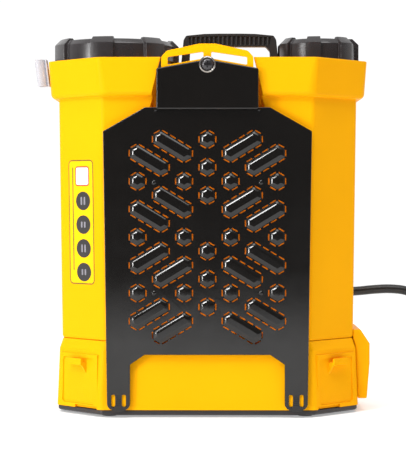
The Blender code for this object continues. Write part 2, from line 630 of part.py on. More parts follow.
def make_outlets():
    """Spigot under the tank, and the elbow through the back of the base that the spray hose leaves from."""
    at = (0.085, 0.055)
    profile = [(0.0120, 0.0962), (0.0120, 0.0942), (0.0080, 0.0942), (0.0080, 0.0742)]
    turned("tank_outlet", profile, charcoal(), at, steps=24)
    x, y, z = ELBOW
    elbow = disc("hose_elbow", 0.0065, 0.0990, y, charcoal(), (x, z), "Y", 24)
    combine(elbow, disc("add", 0.0085, z - 0.0085, z + 0.0120, charcoal(), (x, y), steps=24), "UNION")
    combine(elbow, disc("add", 0.0105, 0.1124, 0.1160, charcoal(), (x, z), "Y", 24), "UNION")
    low, high = z + 0.0120 + GAP, HOSE_START_Z - GAP
    nut = [(0.0112, low), (0.0112, low + 0.0090), (0.0080, high)]
    turned("hose_nut", nut, charcoal(), (x, y), steps=24)


def make_wiring():
    """Leads from the battery's terminals to the motor and to the control panel."""
    red = paint("lead_red", (0.6, 0.03, 0.02), 0.5)
    start = -0.0080
    front = [(start, -0.03, 0.0554), (start + 0.003, -0.03, 0.0554), (-0.002, -0.034, 0.060)]
    front += [(0.010, -0.036, 0.068), (0.060, -0.036, 0.072), (0.110, -0.036, 0.072)]
    front += [(0.150, -0.030, 0.066), (0.176, -0.022, 0.058)]
    back = [(start, 0.03, 0.0554), (start + 0.003, 0.03, 0.0554), (-0.002, 0.024, 0.052), (-0.001, 0.016, 0.047)]
    back += [(0.0015, 0.010, 0.045), (0.0042, 0.010, 0.045)]
    for name, way in (("panel_lead", front), ("motor_lead", back)):
        tube(name, smooth_route(way, 0.008), 0.0026, red)


# ---------------------------------------------------------------- hose, coil and spray gun
def make_hose():
    """The free hose: its arch down to the coil, the coil's outer shape, and the tail into the gun's nut."""
    last_y = COIL_AT[1] + COIL_R
    share = [(x - HOSE_ROUTE[0][0]) / (HOSE_ROUTE[-1][0] - HOSE_ROUTE[0][0]) for x, _ in HOSE_ROUTE]
    lead = [(x, mix(ELBOW[1], last_y, s), z) for (x, z), s in zip(HOSE_ROUTE, share)]
    tube("spray_hose", smooth_route(lead, 0.012), HOSE_D, rubber())
    half = HOSE_D / 2
    inner, outer = COIL_R - half, COIL_R + half
    ring = [(inner, COIL_FOOT_Z), (outer, COIL_FOOT_Z), (outer, COIL_TOP_Z), (inner, COIL_TOP_Z)]
    turned("hose_coil", ring, rubber(), COIL_AT, hollow=True, steps=40)
    centre = (GUN_X - TAIL_R, last_y - TAIL_R)
    bend = [math.pi / 2 * (1 - k / 8) for k in range(9)]
    tail = [
        (centre[0] + TAIL_R * math.cos(a), centre[1] + TAIL_R * math.sin(a), mix(TAIL_Z, GUN_Z, k / 8))
        for k, a in enumerate(bend)
    ]
    tail[0] = (centre[0] + 0.0006, last_y, TAIL_Z)
    tube("hose_tail", [*tail, (GUN_X, GUN_Y + GAP, GUN_Z)], HOSE_D, rubber())


def make_tie():
    """Band round the coil's turns, on its left side."""
    grey = paint("tie_grey", (0.10, 0.10, 0.11), 0.6)
    x, half = COIL_AT[0] - COIL_R, HOSE_D / 2
    inner = (half + 2 * GAP + 0.0006, COIL_FOOT_Z - GAP, COIL_TOP_Z + GAP)
    wall = 0.0010
    low = (x - inner[0] - wall, 0.053, inner[1] - wall)
    band = box("coil_tie", low, (x + inner[0] + wall, 0.067, inner[2] + wall), grey)
    combine(band, box("cut", (x - inner[0], 0.04, inner[1]), (x + inner[0], 0.08, inner[2]), grey))


def make_gun():
    """Grip with its valve head, the lever above it, and the telescopic lance with its turning nozzle."""
    centre = (GUN_X, GUN_Z)
    nut = [(0.0085, GUN_Y), (0.0100, GUN_Y - 0.004), (0.0100, GUN_Y - 0.0150)]
    turned("gun_nut", nut, charcoal(), centre, "Y", 24)
    rear, head, nose = GUN_Y - 0.0153, -0.0480, -0.0800
    shape = [(0.0105, rear), (0.0125, rear - 0.006), (0.0118, -0.010), (0.0125, head), (0.0135, head - 0.004)]
    body = turned("gun_body", [*shape, (0.0135, nose + 0.004), (0.0115, nose)], charcoal(), centre, "Y", 28)
    pivot_y, pivot_z = -0.0620, GUN_Z + 0.0195
    for side in (-1, 1):
        x = GUN_X + side * 0.0080
        low, high = (x - 0.0018, pivot_y - 0.006, GUN_Z), (x + 0.0018, pivot_y + 0.006, pivot_z + 0.005)
        cheek = box("add", low, high, charcoal())
        combine(body, cheek, "UNION")
    hole = disc("cut", 0.0023, GUN_X - 0.02, GUN_X + 0.02, charcoal(), (pivot_y, pivot_z), "X", 16)
    combine(body, hole)
    outline = [(pivot_y - 0.006, pivot_z + 0.0035), (pivot_y - 0.006, pivot_z - 0.0035)]
    outline += [(pivot_y + 0.012, pivot_z - 0.0025)]
    outline += [(0.020, pivot_z + 0.0050), (0.036, pivot_z + 0.0095), (0.036, pivot_z + 0.0125)]
    outline += [(0.018, pivot_z + 0.0095), (pivot_y + 0.012, pivot_z + 0.0045)]
    red = paint("lever_red", (0.55, 0.02, 0.015), 0.35)
    pivot = (GUN_X, pivot_y, pivot_z)
    lever = prism("gun_lever", outline, GUN_X - 0.0058, GUN_X + 0.0058, red, "X", origin=pivot)
    combine(lever, disc("cut", 0.0023, GUN_X - 0.02, GUN_X + 0.02, red, (pivot_y, pivot_z), "X", 16))
    disc("lever_pin", 0.0020, GUN_X - 0.0105, GUN_X + 0.0105, steel(), (pivot_y, pivot_z), "X", 16)
    turned("lance_nut", [(0.0110, nose - GAP), (0.0110, -0.0900), (0.0085, -0.0960)], charcoal(), centre, "Y", 24)
    pipe = [(0.0054, -0.0963), (0.0064, -0.0963), (0.0064, -0.2200), (0.0054, -0.2200)]
    turned("lance_tube", pipe, steel(), centre, "Y", 20, hollow=True)
    collar = [(0.0053, -0.2203), (0.0090, -0.2203), (0.0090, -0.2330), (0.0053, -0.2330)]
    turned("lance_collar", collar, charcoal(), centre, "Y", 20, hollow=True)
    slider = [(0.0035, -0.1000), (0.0050, -0.1000), (0.0050, -0.2450), (0.0035, -0.2450)]
    turned("lance_slider", slider, steel(), centre, "Y", 20, hollow=True)
    turned("nozzle_body", [(0.0070, -0.2453), (0.0085, -0.2470), (0.0085, -0.2560)], charcoal(), centre, "Y", 24)
    cap = [(0.0125, -0.2563), (0.0125, -0.2660), (0.0095, -0.2720), (0.0060, -0.2740)]
    turned("nozzle_cap", cap, paint("nozzle_orange", (0.75, 0.20, 0.01), 0.4), centre, "Y", 24)


def main():
    for old in list(bpy.data.objects):
        bpy.data.objects.remove(old)
    make_tank()
    make_base()
    make_tray()
    make_plate()
    make_hanger()
    make_lid("fill_lid", FILL_LID, "fill_gasket")
    make_lid("dosing_lid", DOSING_LID, "dosing_gasket")
    make_strainer()
    make_vent()
    make_handle()
    make_clip()
    make_control_box()
    make_controls()
    make_battery()
    make_pump()
    make_outlets()
    make_wiring()
    make_hose()
    make_tie()
    make_gun()


main()
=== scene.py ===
"""Looks of the battery knapsack sprayer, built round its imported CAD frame.

Metres for Blender, millimetres for the shapes here; +Z up, wearer's side at -Y.
"""

import json
from math import atan2, cos, pi, radians, sin, sqrt, tan

import bmesh
import bpy
from mathutils import Matrix, Vector


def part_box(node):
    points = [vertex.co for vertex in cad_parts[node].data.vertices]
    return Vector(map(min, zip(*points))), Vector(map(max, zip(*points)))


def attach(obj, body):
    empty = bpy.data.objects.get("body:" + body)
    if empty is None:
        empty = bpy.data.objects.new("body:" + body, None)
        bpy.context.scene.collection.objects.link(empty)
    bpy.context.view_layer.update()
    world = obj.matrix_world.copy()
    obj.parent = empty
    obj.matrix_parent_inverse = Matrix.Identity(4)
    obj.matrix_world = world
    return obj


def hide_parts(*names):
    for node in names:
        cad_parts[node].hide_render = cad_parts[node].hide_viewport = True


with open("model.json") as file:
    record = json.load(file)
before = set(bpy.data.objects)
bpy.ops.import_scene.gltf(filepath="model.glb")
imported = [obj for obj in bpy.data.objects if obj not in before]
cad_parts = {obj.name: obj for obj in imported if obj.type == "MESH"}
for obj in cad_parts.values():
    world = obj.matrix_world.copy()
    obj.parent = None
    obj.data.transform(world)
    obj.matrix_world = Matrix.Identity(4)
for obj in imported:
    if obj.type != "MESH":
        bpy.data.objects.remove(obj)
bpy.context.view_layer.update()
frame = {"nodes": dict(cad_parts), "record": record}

MM = 0.001


def cad_box(node):
    """Lowest and highest corners of a CAD node, in millimetres."""
    return [Vector(corner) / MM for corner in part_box(node)]


# ---------------------------------------------------------------- driving dimensions
EIGHTH = pi / 4
CHAMFER = 56
COLLAR_CHAMFER = 60.5
RIM_CHAMFER = 65
CORNER_R = 10
TANK_Z = 90.8
TANK_HALF_W = (179.1, 182.9)  # at its foot and just under the collar
TANK_HALF_D = (106.3, 108)
COLLAR_Z = 384
COLLAR_LIP = 10.2  # how far the collar stands out from the tank
COLLAR_R = 6.8
RIM_Z = 430
RIM_HALF_W = 195.2
RIM_HALF_D = 121.5
RIM_WALL = 2.6
DECK_Z = 408
TANK_WALL = 3

BASE_Z = (8.6, 79.7, 90.5)  # skirt's foot, its ledge and its top
BASE_HALF_W = (185, 182.2, 178.5)
BASE_HALF_D = (112, 110, 106.8)
BASE_WALL = 3

LID_LUGS = 7
LID_FOOT_Z = cad_box("fill_lid")[0].z
NECK_TOP_Z = 434
NECK_WALL = 4
FILL_LID = {"at": (-114.5, -12), "radius": 76.5, "neck": 60, "top": 456.5}
DOSING_LID = {"at": (137.7, -12), "radius": 48.7, "neck": 37, "top": 459}

PLATE_Y = -118.5
PLATE_SKIN = 1.4
PLATE_FLANGE_Y = -112.5
BUMP_PITCH_X = 27.7
BUMP_PITCH_Z = 33.3
BUMP_TOP_Z = 332.2
BUMP_FLATS = 21.1
BUMP_H = 5
SLIT = (7.8, 1.5)  # length and width of a slit at a bump's foot
SLIT_PITCH = 10.9
HOOD_HALF_W = 60.7
HOOD_Y = -128
HOOD_Z = (367.5, 416.2, 425.2)  # foot, shoulders and peak
LEG_X = 106
LEG_HALF_W = 13.7
STRAP_SLOT_X = 6.4
STRAP_SLOT_W = 5
STRAP_SLOT_Z = (13.4, 27.7)

SCREW_Z = 420.5
HANDLE_X = 27.8
HANDLE_HALF_W = 59
HANDLE_PIVOT_Z = 418.5
HANDLE_TOP_Z = 469.3
CLIP_AT = (-208.5, -30)
CLIP_LEAN = 0.127  # sideways per height, as the collar's side has it

PANEL_FACE = 190.3  # where the controls stand on the panel
SWITCH = (-21, 60.8)
KNOB = (20, 60)
SOCKET = (-21, 31)
METER = (20, 33)

HOSE_D = 12
ELBOW = (100, 131, 60)
COIL_AT = (348, 60)
COIL_R = 66
COIL_TURNS = 2
COIL_TURN_POINTS = 36
TAIL_R = 50
TAIL_Z = 7.6
GUN_X = 439
GUN_Z = 14.5
GUN_Y = 70

# The hose's way from its nut over the crest and down onto the coil, in X and Z.
# Its Y goes evenly from the elbow's to the coil's.
HOSE_ROUTE = [
    (100, 88.3), (100, 90.3), (103, 107.1), (111.5, 121.8), (124.5, 132.7),
    (138.8, 138.2), (156, 139), (176, 138), (199, 138.8), (222, 141),
    (244, 141.8), (265, 139.2), (283, 130.5), (296, 116), (302.5, 98.5),
    (306, 80), (312.5, 62), (323.5, 47), (336, 37.2), (348, 31.8),
]


# ---------------------------------------------------------------- camera, floor and light
def added(name, data):
    """A new object in the scene that holds the data."""
    made = bpy.data.objects.new(name, data)
    bpy.context.scene.collection.objects.link(made)
    return made


def make_camera():
    data = bpy.data.cameras.new("camera")
    data.sensor_fit = "HORIZONTAL"
    data.sensor_width = 36.0
    data.lens = 147.6
    camera = added("camera", data)
    camera.location = (0.0093, -2.1, 0.255)
    camera.rotation_mode = "QUATERNION"
    camera.rotation_quaternion = Vector((-0.0073, 1.0, -0.0125)).to_track_quat("-Z", "Y")
    bpy.context.scene.camera = camera


def make_area(name, spot, target, size, power, colour=(1.0, 1.0, 1.0)):
    data = bpy.data.lights.new(name, "AREA")
    data.shape = "RECTANGLE"
    data.size, data.size_y = size
    data.energy = power
    data.color = colour
    light = added(name, data)
    light.location = spot
    light.rotation_mode = "QUATERNION"
    light.rotation_quaternion = (Vector(target) - Vector(spot)).to_track_quat("-Z", "Y")


def make_world():
    """A pale studio: white behind the sprayer and beside it, dimmer on the wearer's side."""
    world = bpy.data.worlds.new("studio")
    world.use_nodes = True
    nodes, links = world.node_tree.nodes, world.node_tree.links
    ground = nodes["Background"]
    ground.inputs["Color"].default_value = (1.0, 1.0, 1.0, 1.0)
    heading = nodes.new("ShaderNodeTexCoord")
    axes = nodes.new("ShaderNodeSeparateXYZ")
    links.new(heading.outputs["Generated"], axes.inputs["Vector"])
    behind = node_of(
        world.node_tree, "ShaderNodeMapRange", From_Min=-0.55, From_Max=0.45, To_Min=0.17, To_Max=1.05
    )
    behind.interpolation_type = "SMOOTHSTEP"
    links.new(axes.outputs["Y"], behind.inputs["Value"])
    links.new(behind.outputs["Result"], ground.inputs["Strength"])
    bpy.context.scene.world = world


def make_stage():
    bm = bmesh.new()
    turns = [2 * pi * k / 96 for k in range(96)]
    reach = 2.2
    bm.faces.new([bm.verts.new((reach * cos(t), reach * sin(t), -0.0005)) for t in turns])
    mesh = bpy.data.meshes.new("floor")
    bm.to_mesh(mesh)
    bm.free()
    floor = added("floor", mesh)
    paint = bpy.data.materials.new("floor_white")
    paint.use_nodes = True
    white = {"Base_Color": (0.88, 0.88, 0.88, 1.0), "Emission_Color": (1.0, 1.0, 1.0, 1.0)}
    fill_in(
        paint.node_tree.nodes["Principled BSDF"], Roughness=0.85, Specular_IOR_Level=0.1,
        Emission_Strength=0.35, **white
    )
    mesh.materials.append(paint)
    make_area("key", (-1.9, -1.9, 1.35), (0.0, 0.0, 0.25), (0.8, 0.8), 13.0)
    make_area("top", (0.1, -0.9, 2.2), (0.0, 0.0, 0.2), (1.8, 1.2), 28.0)
    make_area("streak_left", (-1.9, -1.6, 0.35), (0.0, -0.1, 0.22), (0.24, 0.6), 20.0)
    make_area("streak_top", (-0.95, -1.6, 1.8), (0.0, -0.1, 0.22), (0.6, 0.26), 20.0)
    bpy.context.scene.view_settings.view_transform = "Standard"


# ---------------------------------------------------------------- finishes
MIX_A, MIX_B, MIX_OUT = 6, 7, 2  # a colour Mix node's two colours and its result


def fill_in(node, **values):
    """Set a shader node's input sockets by name."""
    for name, value in values.items():
        node.inputs[name.replace("_", " ")].default_value = value
    return node


def node_of(tree, kind, **values):
    return fill_in(tree.nodes.new(kind), **values)


def noise_of(tree, scale, detail, stretch=(1.0, 1.0, 1.0)):
    """Noise over the piece's own rest coordinates."""
    place_in = tree.nodes.new("ShaderNodeTexCoord")
    mapping = node_of(tree, "ShaderNodeMapping", Scale=stretch)
    noise = node_of(tree, "ShaderNodeTexNoise", Scale=scale, Detail=detail)
    tree.links.new(place_in.outputs["Object"], mapping.inputs["Vector"])
    tree.links.new(mapping.outputs["Vector"], noise.inputs["Vector"])
    return noise.outputs["Fac"]


def spread_of(tree, value, low, high):
    """A 0 to 1 value spread between two numbers."""
    span = node_of(tree, "ShaderNodeMapRange", From_Min=0.3, From_Max=0.7, To_Min=low, To_Max=high)
    tree.links.new(value, span.inputs["Value"])
    return span.outputs["Result"]


def finish(
    name, colour, rough, drift=0.06, gloss_drift=0.05, grain=900.0, relief=0.05, metallic=0.0, specular=0.5,
    stretch=(1.0, 1.0, 1.0), coat=0.0, glow=0.0,
):
    """Moulded or drawn surface: colour and gloss that drift slightly, over a fine relief."""
    made = bpy.data.materials.new(name)
    made.use_nodes = True
    tree = made.node_tree
    shader = tree.nodes["Principled BSDF"]
    fill_in(shader, Metallic=metallic, Coat_Weight=coat, Coat_Roughness=0.08, Specular_IOR_Level=specular)
    fill_in(shader, Emission_Color=(*colour, 1.0), Emission_Strength=glow)
    tint = tree.nodes.new("ShaderNodeMix")
    tint.data_type = "RGBA"
    tint.inputs[MIX_A].default_value = (*(c * (1 - drift) for c in colour), 1.0)
    tint.inputs[MIX_B].default_value = (*(min(1.0, c * (1 + drift)) for c in colour), 1.0)
    tree.links.new(spread_of(tree, noise_of(tree, 11.0, 3.0, stretch), 0.0, 1.0), tint.inputs[0])
    tree.links.new(tint.outputs[MIX_OUT], shader.inputs["Base Color"])
    wander = spread_of(tree, noise_of(tree, 38.0, 4.0, stretch), rough - gloss_drift, rough + gloss_drift)
    tree.links.new(wander, shader.inputs["Roughness"])
    bump = node_of(tree, "ShaderNodeBump", Strength=relief, Distance=0.0004)
    tree.links.new(noise_of(tree, grain, 2.0, stretch), bump.inputs["Height"])
    tree.links.new(bump.outputs["Normal"], shader.inputs["Normal"])
    return made


def flecked(name, colour, fleck, rough, relief, scale=900.0, share=0.6):
    """Moulded rubber: a surface with small flecks of a second colour."""
    made = finish(name, colour, rough, relief=relief)
    tree = made.node_tree
    shader = tree.nodes["Principled BSDF"]
    dots = noise_of(tree, scale, 1.0)
    ramp = node_of(tree, "ShaderNodeMapRange", From_Min=share, From_Max=share + 0.06)
    tree.links.new(dots, ramp.inputs["Value"])
    before = shader.inputs["Base Color"].links[0].from_socket
    mixed = tree.nodes.new("ShaderNodeMix")
    mixed.data_type = "RGBA"
    mixed.inputs[MIX_B].default_value = (*fleck, 1.0)
    tree.links.new(before, mixed.inputs[MIX_A])
    tree.links.new(ramp.outputs["Result"], mixed.inputs[0])
    tree.links.new(mixed.outputs[MIX_OUT], shader.inputs["Base Color"])
    return made


YELLOW = (0.96, 0.43, 0.003)
BRUSHED = (1.0, 14.0, 14.0)
BRUSHED_ALONG_Y = (14.0, 1.0, 14.0)
# Colour, gloss, drift of colour and gloss, grain, relief; then metal, specular, stretch, coat and glow.
ROWS = {
    "tank_yellow": (YELLOW, 0.34, 0.02, 0.04, 420.0, 0.04, 0.0, 0.02),
    "base_yellow": (YELLOW, 0.3, 0.02, 0.04, 700.0, 0.03, 0.0, 0.02),
    "hanger_yellow": ((0.965, 0.44, 0.003), 0.32, 0.02, 0.04, 700.0, 0.03, 0.0, 0.02),
    "plate_black": ((0.004, 0.0032, 0.0027), 0.13, 0.12, 0.03, 130.0, 0.035),
    "lid_black": ((0.024, 0.02, 0.021), 0.24, 0.12, 0.05, 1500.0, 0.08, 0.0, 0.75),
    "handle_black": ((0.017, 0.016, 0.016), 0.4, 0.12, 0.06, 1500.0, 0.12),
    "tray_black": ((0.018, 0.015, 0.016), 0.42, 0.12, 0.06, 1300.0, 0.12),
    "panel_black": ((0.014, 0.014, 0.015), 0.46, 0.1, 0.05, 1800.0, 0.16),
    "meter_black": ((0.006, 0.007, 0.008), 0.1, 0.1, 0.02, 300.0, 0.01, 0.0, 0.5, (1.0, 1.0, 1.0), 0.6),
    "hose_black": ((0.013, 0.013, 0.013), 0.34, 0.15, 0.06, 1200.0, 0.1),
    "tie_black": ((0.02, 0.02, 0.02), 0.5, 0.12, 0.05, 1500.0, 0.12),
    "screw_steel": ((0.6, 0.59, 0.57), 0.3, 0.06, 0.06, 1100.0, 0.1, 1.0),
    "screw_dark": ((0.055, 0.052, 0.055), 0.2, 0.1, 0.05, 900.0, 0.08, 0.6),
    "washer_steel": ((0.3, 0.28, 0.26), 0.22, 0.1, 0.05, 900.0, 0.08, 1.0),
    "strainer_grey": ((0.3, 0.31, 0.32), 0.5, 0.08, 0.05, 1500.0, 0.12),
    "clip_white": ((0.46, 0.45, 0.48), 0.42, 0.02, 0.05, 900.0, 0.06),
    "battery_grey": ((0.07, 0.07, 0.078), 0.5, 0.1, 0.05, 1500.0, 0.15),
    "terminal_brass": ((0.7, 0.45, 0.15), 0.32, 0.08, 0.06, 900.0, 0.1, 1.0),
    "motor_steel": ((0.52, 0.52, 0.51), 0.3, 0.05, 0.08, 500.0, 0.12, 1.0, 0.5, BRUSHED),
    "pump_black": ((0.018, 0.018, 0.018), 0.5, 0.12, 0.06, 1500.0, 0.15),
    "clear_hose": ((0.66, 0.69, 0.64), 0.25, 0.04, 0.04, 600.0, 0.04),
    "fitting_black": ((0.017, 0.017, 0.017), 0.42, 0.12, 0.06, 1500.0, 0.12),
    "lead_red": ((0.48, 0.022, 0.014), 0.45, 0.06, 0.05, 1500.0, 0.06),
    "gun_black": ((0.017, 0.017, 0.018), 0.44, 0.12, 0.06, 1300.0, 0.16),
    "lance_steel": ((0.6, 0.59, 0.57), 0.22, 0.04, 0.06, 500.0, 0.08, 1.0, 0.5, BRUSHED_ALONG_Y),
    "switch_red": ((0.5, 0.018, 0.012), 0.24, 0.05, 0.04, 900.0, 0.04),
    "lever_red": ((0.48, 0.018, 0.012), 0.36, 0.06, 0.05, 1300.0, 0.1),
    "nozzle_orange": ((0.7, 0.17, 0.008), 0.38, 0.05, 0.05, 1300.0, 0.1),
    "print_black": ((0.02, 0.018, 0.017), 0.45, 0.2, 0.05, 1800.0, 0.06),
    "print_white": ((0.82, 0.8, 0.8), 0.4, 0.03, 0.05, 1800.0, 0.04),
    "print_red": ((0.75, 0.06, 0.012), 0.4, 0.05, 0.05, 1800.0, 0.04),
    "print_grey": ((0.22, 0.21, 0.24), 0.4, 0.15, 0.05, 1800.0, 0.04),
    "print_yellow": ((0.98, 0.56, 0.002), 0.36, 0.02, 0.05, 1800.0, 0.03, 0.0, 0.1),
    # Deep orange with a faint glow, standing for the yellow tank in the plate's shadow as seen through the
    # slits: painted shade and a painted glow
    "painted_shade_glow_orange": (
        (1.0, 0.23, 0.006), 0.45, 0.03, 0.05, 600.0, 0.05, 0.0, 0.05, (1.0, 1.0, 1.0), 0.0, 0.22
    ),
    "display_green": ((0.02, 0.3, 0.06), 0.25, 0.05, 0.03, 900.0, 0.02)
}
FINISHES = {name: finish(name, *row) for name, row in ROWS.items()}
FINISHES["rubber"] = flecked("rubber", (0.016, 0.016, 0.016), (0.03, 0.029, 0.028), 0.72, 0.25)
FINISHES["gasket_rubber"] = flecked("gasket_rubber", (0.03, 0.03, 0.031), (0.05, 0.05, 0.05), 0.7, 0.2)


# ---------------------------------------------------------------- modelling helpers
def place(name, bm, smooth=32):
    """Turn a bmesh in the row frame into an object at the origin."""
    bmesh.ops.recalc_face_normals(bm, faces=bm.faces)
    mesh = bpy.data.meshes.new(name)
    bm.to_mesh(mesh)
    bm.free()
    mesh.shade_smooth()
    mesh.set_sharp_from_angle(angle=radians(smooth))
    return added(name, mesh)


def show(piece, slot, *nodes, body="sprayer", paint=None):
    """Give a piece its finish, its body and the CAD nodes that it stands for."""
    piece.data.materials.clear()
    piece.data.materials.append(FINISHES[paint or slot])
    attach(piece, body)
    if nodes:
        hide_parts(*nodes)
    if piece.type == "MESH":
        even = piece.modifiers.new("even_shading", "WEIGHTED_NORMAL")
        even.weight = 80
        even.keep_sharp = True
    return piece


def soften(piece, width, segments=2, angle=34):
    """Round every sharper edge a little."""
    bevel = piece.modifiers.new("soften", "BEVEL")
    if len(piece.modifiers) > 1:
        piece.modifiers.move(len(piece.modifiers) - 1, 0)
    bevel.width = width * MM
    bevel.segments = segments
    bevel.limit_method = "ANGLE"
    bevel.angle_limit = radians(angle)
    bevel.harden_normals = True
    return piece


def vertex(bm, point):
    return bm.verts.new([c * MM for c in point])


def bridge(bm, low, high):
    for i, corner in enumerate(low):
        j = (i + 1) % len(low)
        bm.faces.new((corner, low[j], high[j], high[i]))


def loft(name, rings, looped=False):
    """Skin a row of rings with equal counts, capped at both ends or closed on itself."""
    bm = bmesh.new()
    loops = [[vertex(bm, point) for point in ring] for ring in rings]
    for low, high in zip(loops, loops[1:]):
        bridge(bm, low, high)
    if looped:
        bridge(bm, loops[-1], loops[0])
    else:
        bm.faces.new(loops[0][::-1])
        bm.faces.new(loops[-1])
    return place(name, bm)


def along(axis, u, v, w):
    """A point at height w on an axis, u and v across it in X, Y, Z order."""
    return {"X": (w, u, v), "Y": (u, w, v), "Z": (u, v, w)}[axis]


def rect(left, foot, right, top):
    return [(left, foot), (right, foot), (right, top), (left, top)]


def mirrored(points, middle=0):
    """The points, then their mirror images back to the start."""
    return [*points, *((2 * middle - x, z) for x, z in points[::-1])]


def spun(at, angle, axis="Z"):
    """A turn about an axis through the origin, then a move."""
    return Matrix.Translation([c * MM for c in at]) @ Matrix.Rotation(angle, 4, axis)


def prism(name, outline, low, high, axis="Y"):
    return loft(name, [[along(axis, u, v, w) for u, v in outline] for w in (low, high)])


def box(name, low, high):
    return prism(name, rect(low[0], low[1], high[0], high[1]), low[2], high[2], "Z")


def turned(name, profile, at=(0, 0), axis="Z", steps=64, hollow=False):
    """Turn a profile of (radius, height) pairs about an axis that crosses the plane at `at`."""
    turns = [2 * pi * k / steps for k in range(steps)]
    rings = [[along(axis, at[0] + r * cos(t), at[1] + r * sin(t), w) for t in turns] for r, w in profile]
    return loft(name, rings, looped=hollow)


def disc(name, radius, low, high, at=(0, 0), axis="Z", steps=48):
    return turned(name, [(radius, low), (radius, high)], at, axis, steps)


def combine(target, other, operation="DIFFERENCE"):
    """Apply a Boolean and drop the second object."""
    modifier = target.modifiers.new("combine", "BOOLEAN")
    modifier.operation = operation
    modifier.object = other
    graph = bpy.context.evaluated_depsgraph_get()
    mesh = bpy.data.meshes.new_from_object(target.evaluated_get(graph))
    target.modifiers.clear()
    target.data = mesh
    bpy.data.objects.remove(other)
    return target


def drill(target, radius, low, high, at=(0, 0), axis="Z", steps=48):
    combine(target, disc("cut", radius, low, high, at, axis, steps))


def gather(name, pieces):
    """Join separate closed bodies into one object."""
    bm = bmesh.new()
    for piece in pieces:
        piece.data.transform(piece.matrix_basis)
        bm.from_mesh(piece.data)
        bpy.data.objects.remove(piece)
    return place(name, bm)


def moved(piece, matrix):
    piece.data.transform(matrix)
    return piece


def arc(centre, radius, start, stop, steps, height=None):
    """Points on an arc, angles in degrees; an oval's arc where a height is given."""
    turns = [radians(start + (stop - start) * k / steps) for k in range(steps + 1)]
    return [(centre[0] + radius * cos(t), centre[1] + (height or radius) * sin(t)) for t in turns]


def rounded(outline, radius, steps=4):
    """The outline with each corner turned into an arc, as large as its sides allow."""
    made = []
    count = len(outline)
    for k, point in enumerate(outline):
        corner = Vector(point)
        back, ahead = Vector(outline[k - 1]) - corner, Vector(outline[(k + 1) % count]) - corner
        half = back.angle(ahead) / 2
        if half > radians(86):
            made.append(tuple(corner))
            continue
        reach = min(radius / tan(half), 0.45 * back.length, 0.45 * ahead.length)
        r = reach * tan(half)
        centre = corner + (back.normalized() + ahead.normalized()).normalized() * (r / sin(half))
        first, last = corner + back.normalized(
        ) * reach - centre, corner + ahead.normalized() * reach - centre
        sweep = first.angle_signed(last)
        for step in range(steps + 1):
            turn = atan2(first.y, first.x) - sweep * step / steps
            made.append((centre.x + r * cos(turn), centre.y + r * sin(turn)))
    return made


def inset(outline, depth):
    """The outline moved inwards (or outwards, below zero) by a depth along its corners' bisectors."""
    count = len(outline)
    area = sum(outline[k - 1][0] * outline[k][1] - outline[k][0] * outline[k - 1][1] for k in range(count))
    inward = 1 if area > 0 else -1
    made = []
    for k, point in enumerate(outline):
        before = (Vector(point) - Vector(outline[k - 1])).normalized()
        after = (Vector(outline[(k + 1) % count]) - Vector(point)).normalized()
        side = Vector((-before.y - after.y, before.x + after.x)).normalized() * inward
        lean = max(0.3, side.dot(Vector((-after.y, after.x)) * inward))
        made.append((point[0] + side.x * depth / lean, point[1] + side.y * depth / lean))
    return made


def cushion(name, outline, low, high, radius, axis="Y", steps=4):
    """Prism from low to high whose edge at the high end is rounded over."""
    way = 1 if high > low else -1
    levels = [(0, low), (0, high - way * radius)]
    levels += [
        (radius * (1 - cos(t)), high - way * radius * (1 - sin(t)))
        for t in (pi / 2 * k / steps for k in range(1, steps + 1))
    ]
    return loft(name, [[along(axis, u, v, w) for u, v in inset(outline, depth)] for depth, w in levels])


def octagon(half_w, half_d, z, chamfer=CHAMFER, grow=0, radius=CORNER_R, steps=7):
    """Ring of a chamfered rectangle with rounded corners, moved outwards by an even amount."""
    half_w, half_d, chamfer = half_w + grow, half_d + grow, chamfer + grow * (2 - sqrt(2))
    radius = max(1, radius + grow)
    reach = radius * tan(pi / 8)
    inner_w, inner_d = half_w - chamfer, half_d - chamfer
    corners = [(half_w, inner_d), (inner_w, half_d), (-inner_w, half_d), (-half_w, inner_d)]
    corners += [(-x, -y) for x, y in corners]
    ring = []
    for k, (x, y) in enumerate(corners):
        heading = radians(90 + 45 * k)
        centre_x = x - reach * cos(heading) - radius * sin(heading)
        centre_y = y - reach * sin(heading) + radius * cos(heading)
        for step in range(steps + 1):
            turn = heading - pi / 2 + EIGHTH * step / steps
            ring.append((centre_x + radius * cos(turn), centre_y + radius * sin(turn), z))
    return ring


def mix(low, high, share):
    return low + (high - low) * share


def smooth_route(points, spacing):
    """Points at about even spacing on a Catmull-Rom curve through the given ones."""
    route = [Vector(p) for p in points]
    route = [2 * route[0] - route[1], *route, 2 * route[-1] - route[-2]]
    made = []
    for a, b, c, d in zip(route, route[1:], route[2:], route[3:]):
        parts = max(1, round((c - b).length / spacing))
        for part in range(parts):
            t = part / parts
            made.append(
                0.5 * (
                    2 * b + (c - a) * t + (2 * a - 5 * b + 4 * c - d) * t**2 + (3 * b - a - 3 * c + d) * t**3
                )
            )
    return [*made, route[-2]]


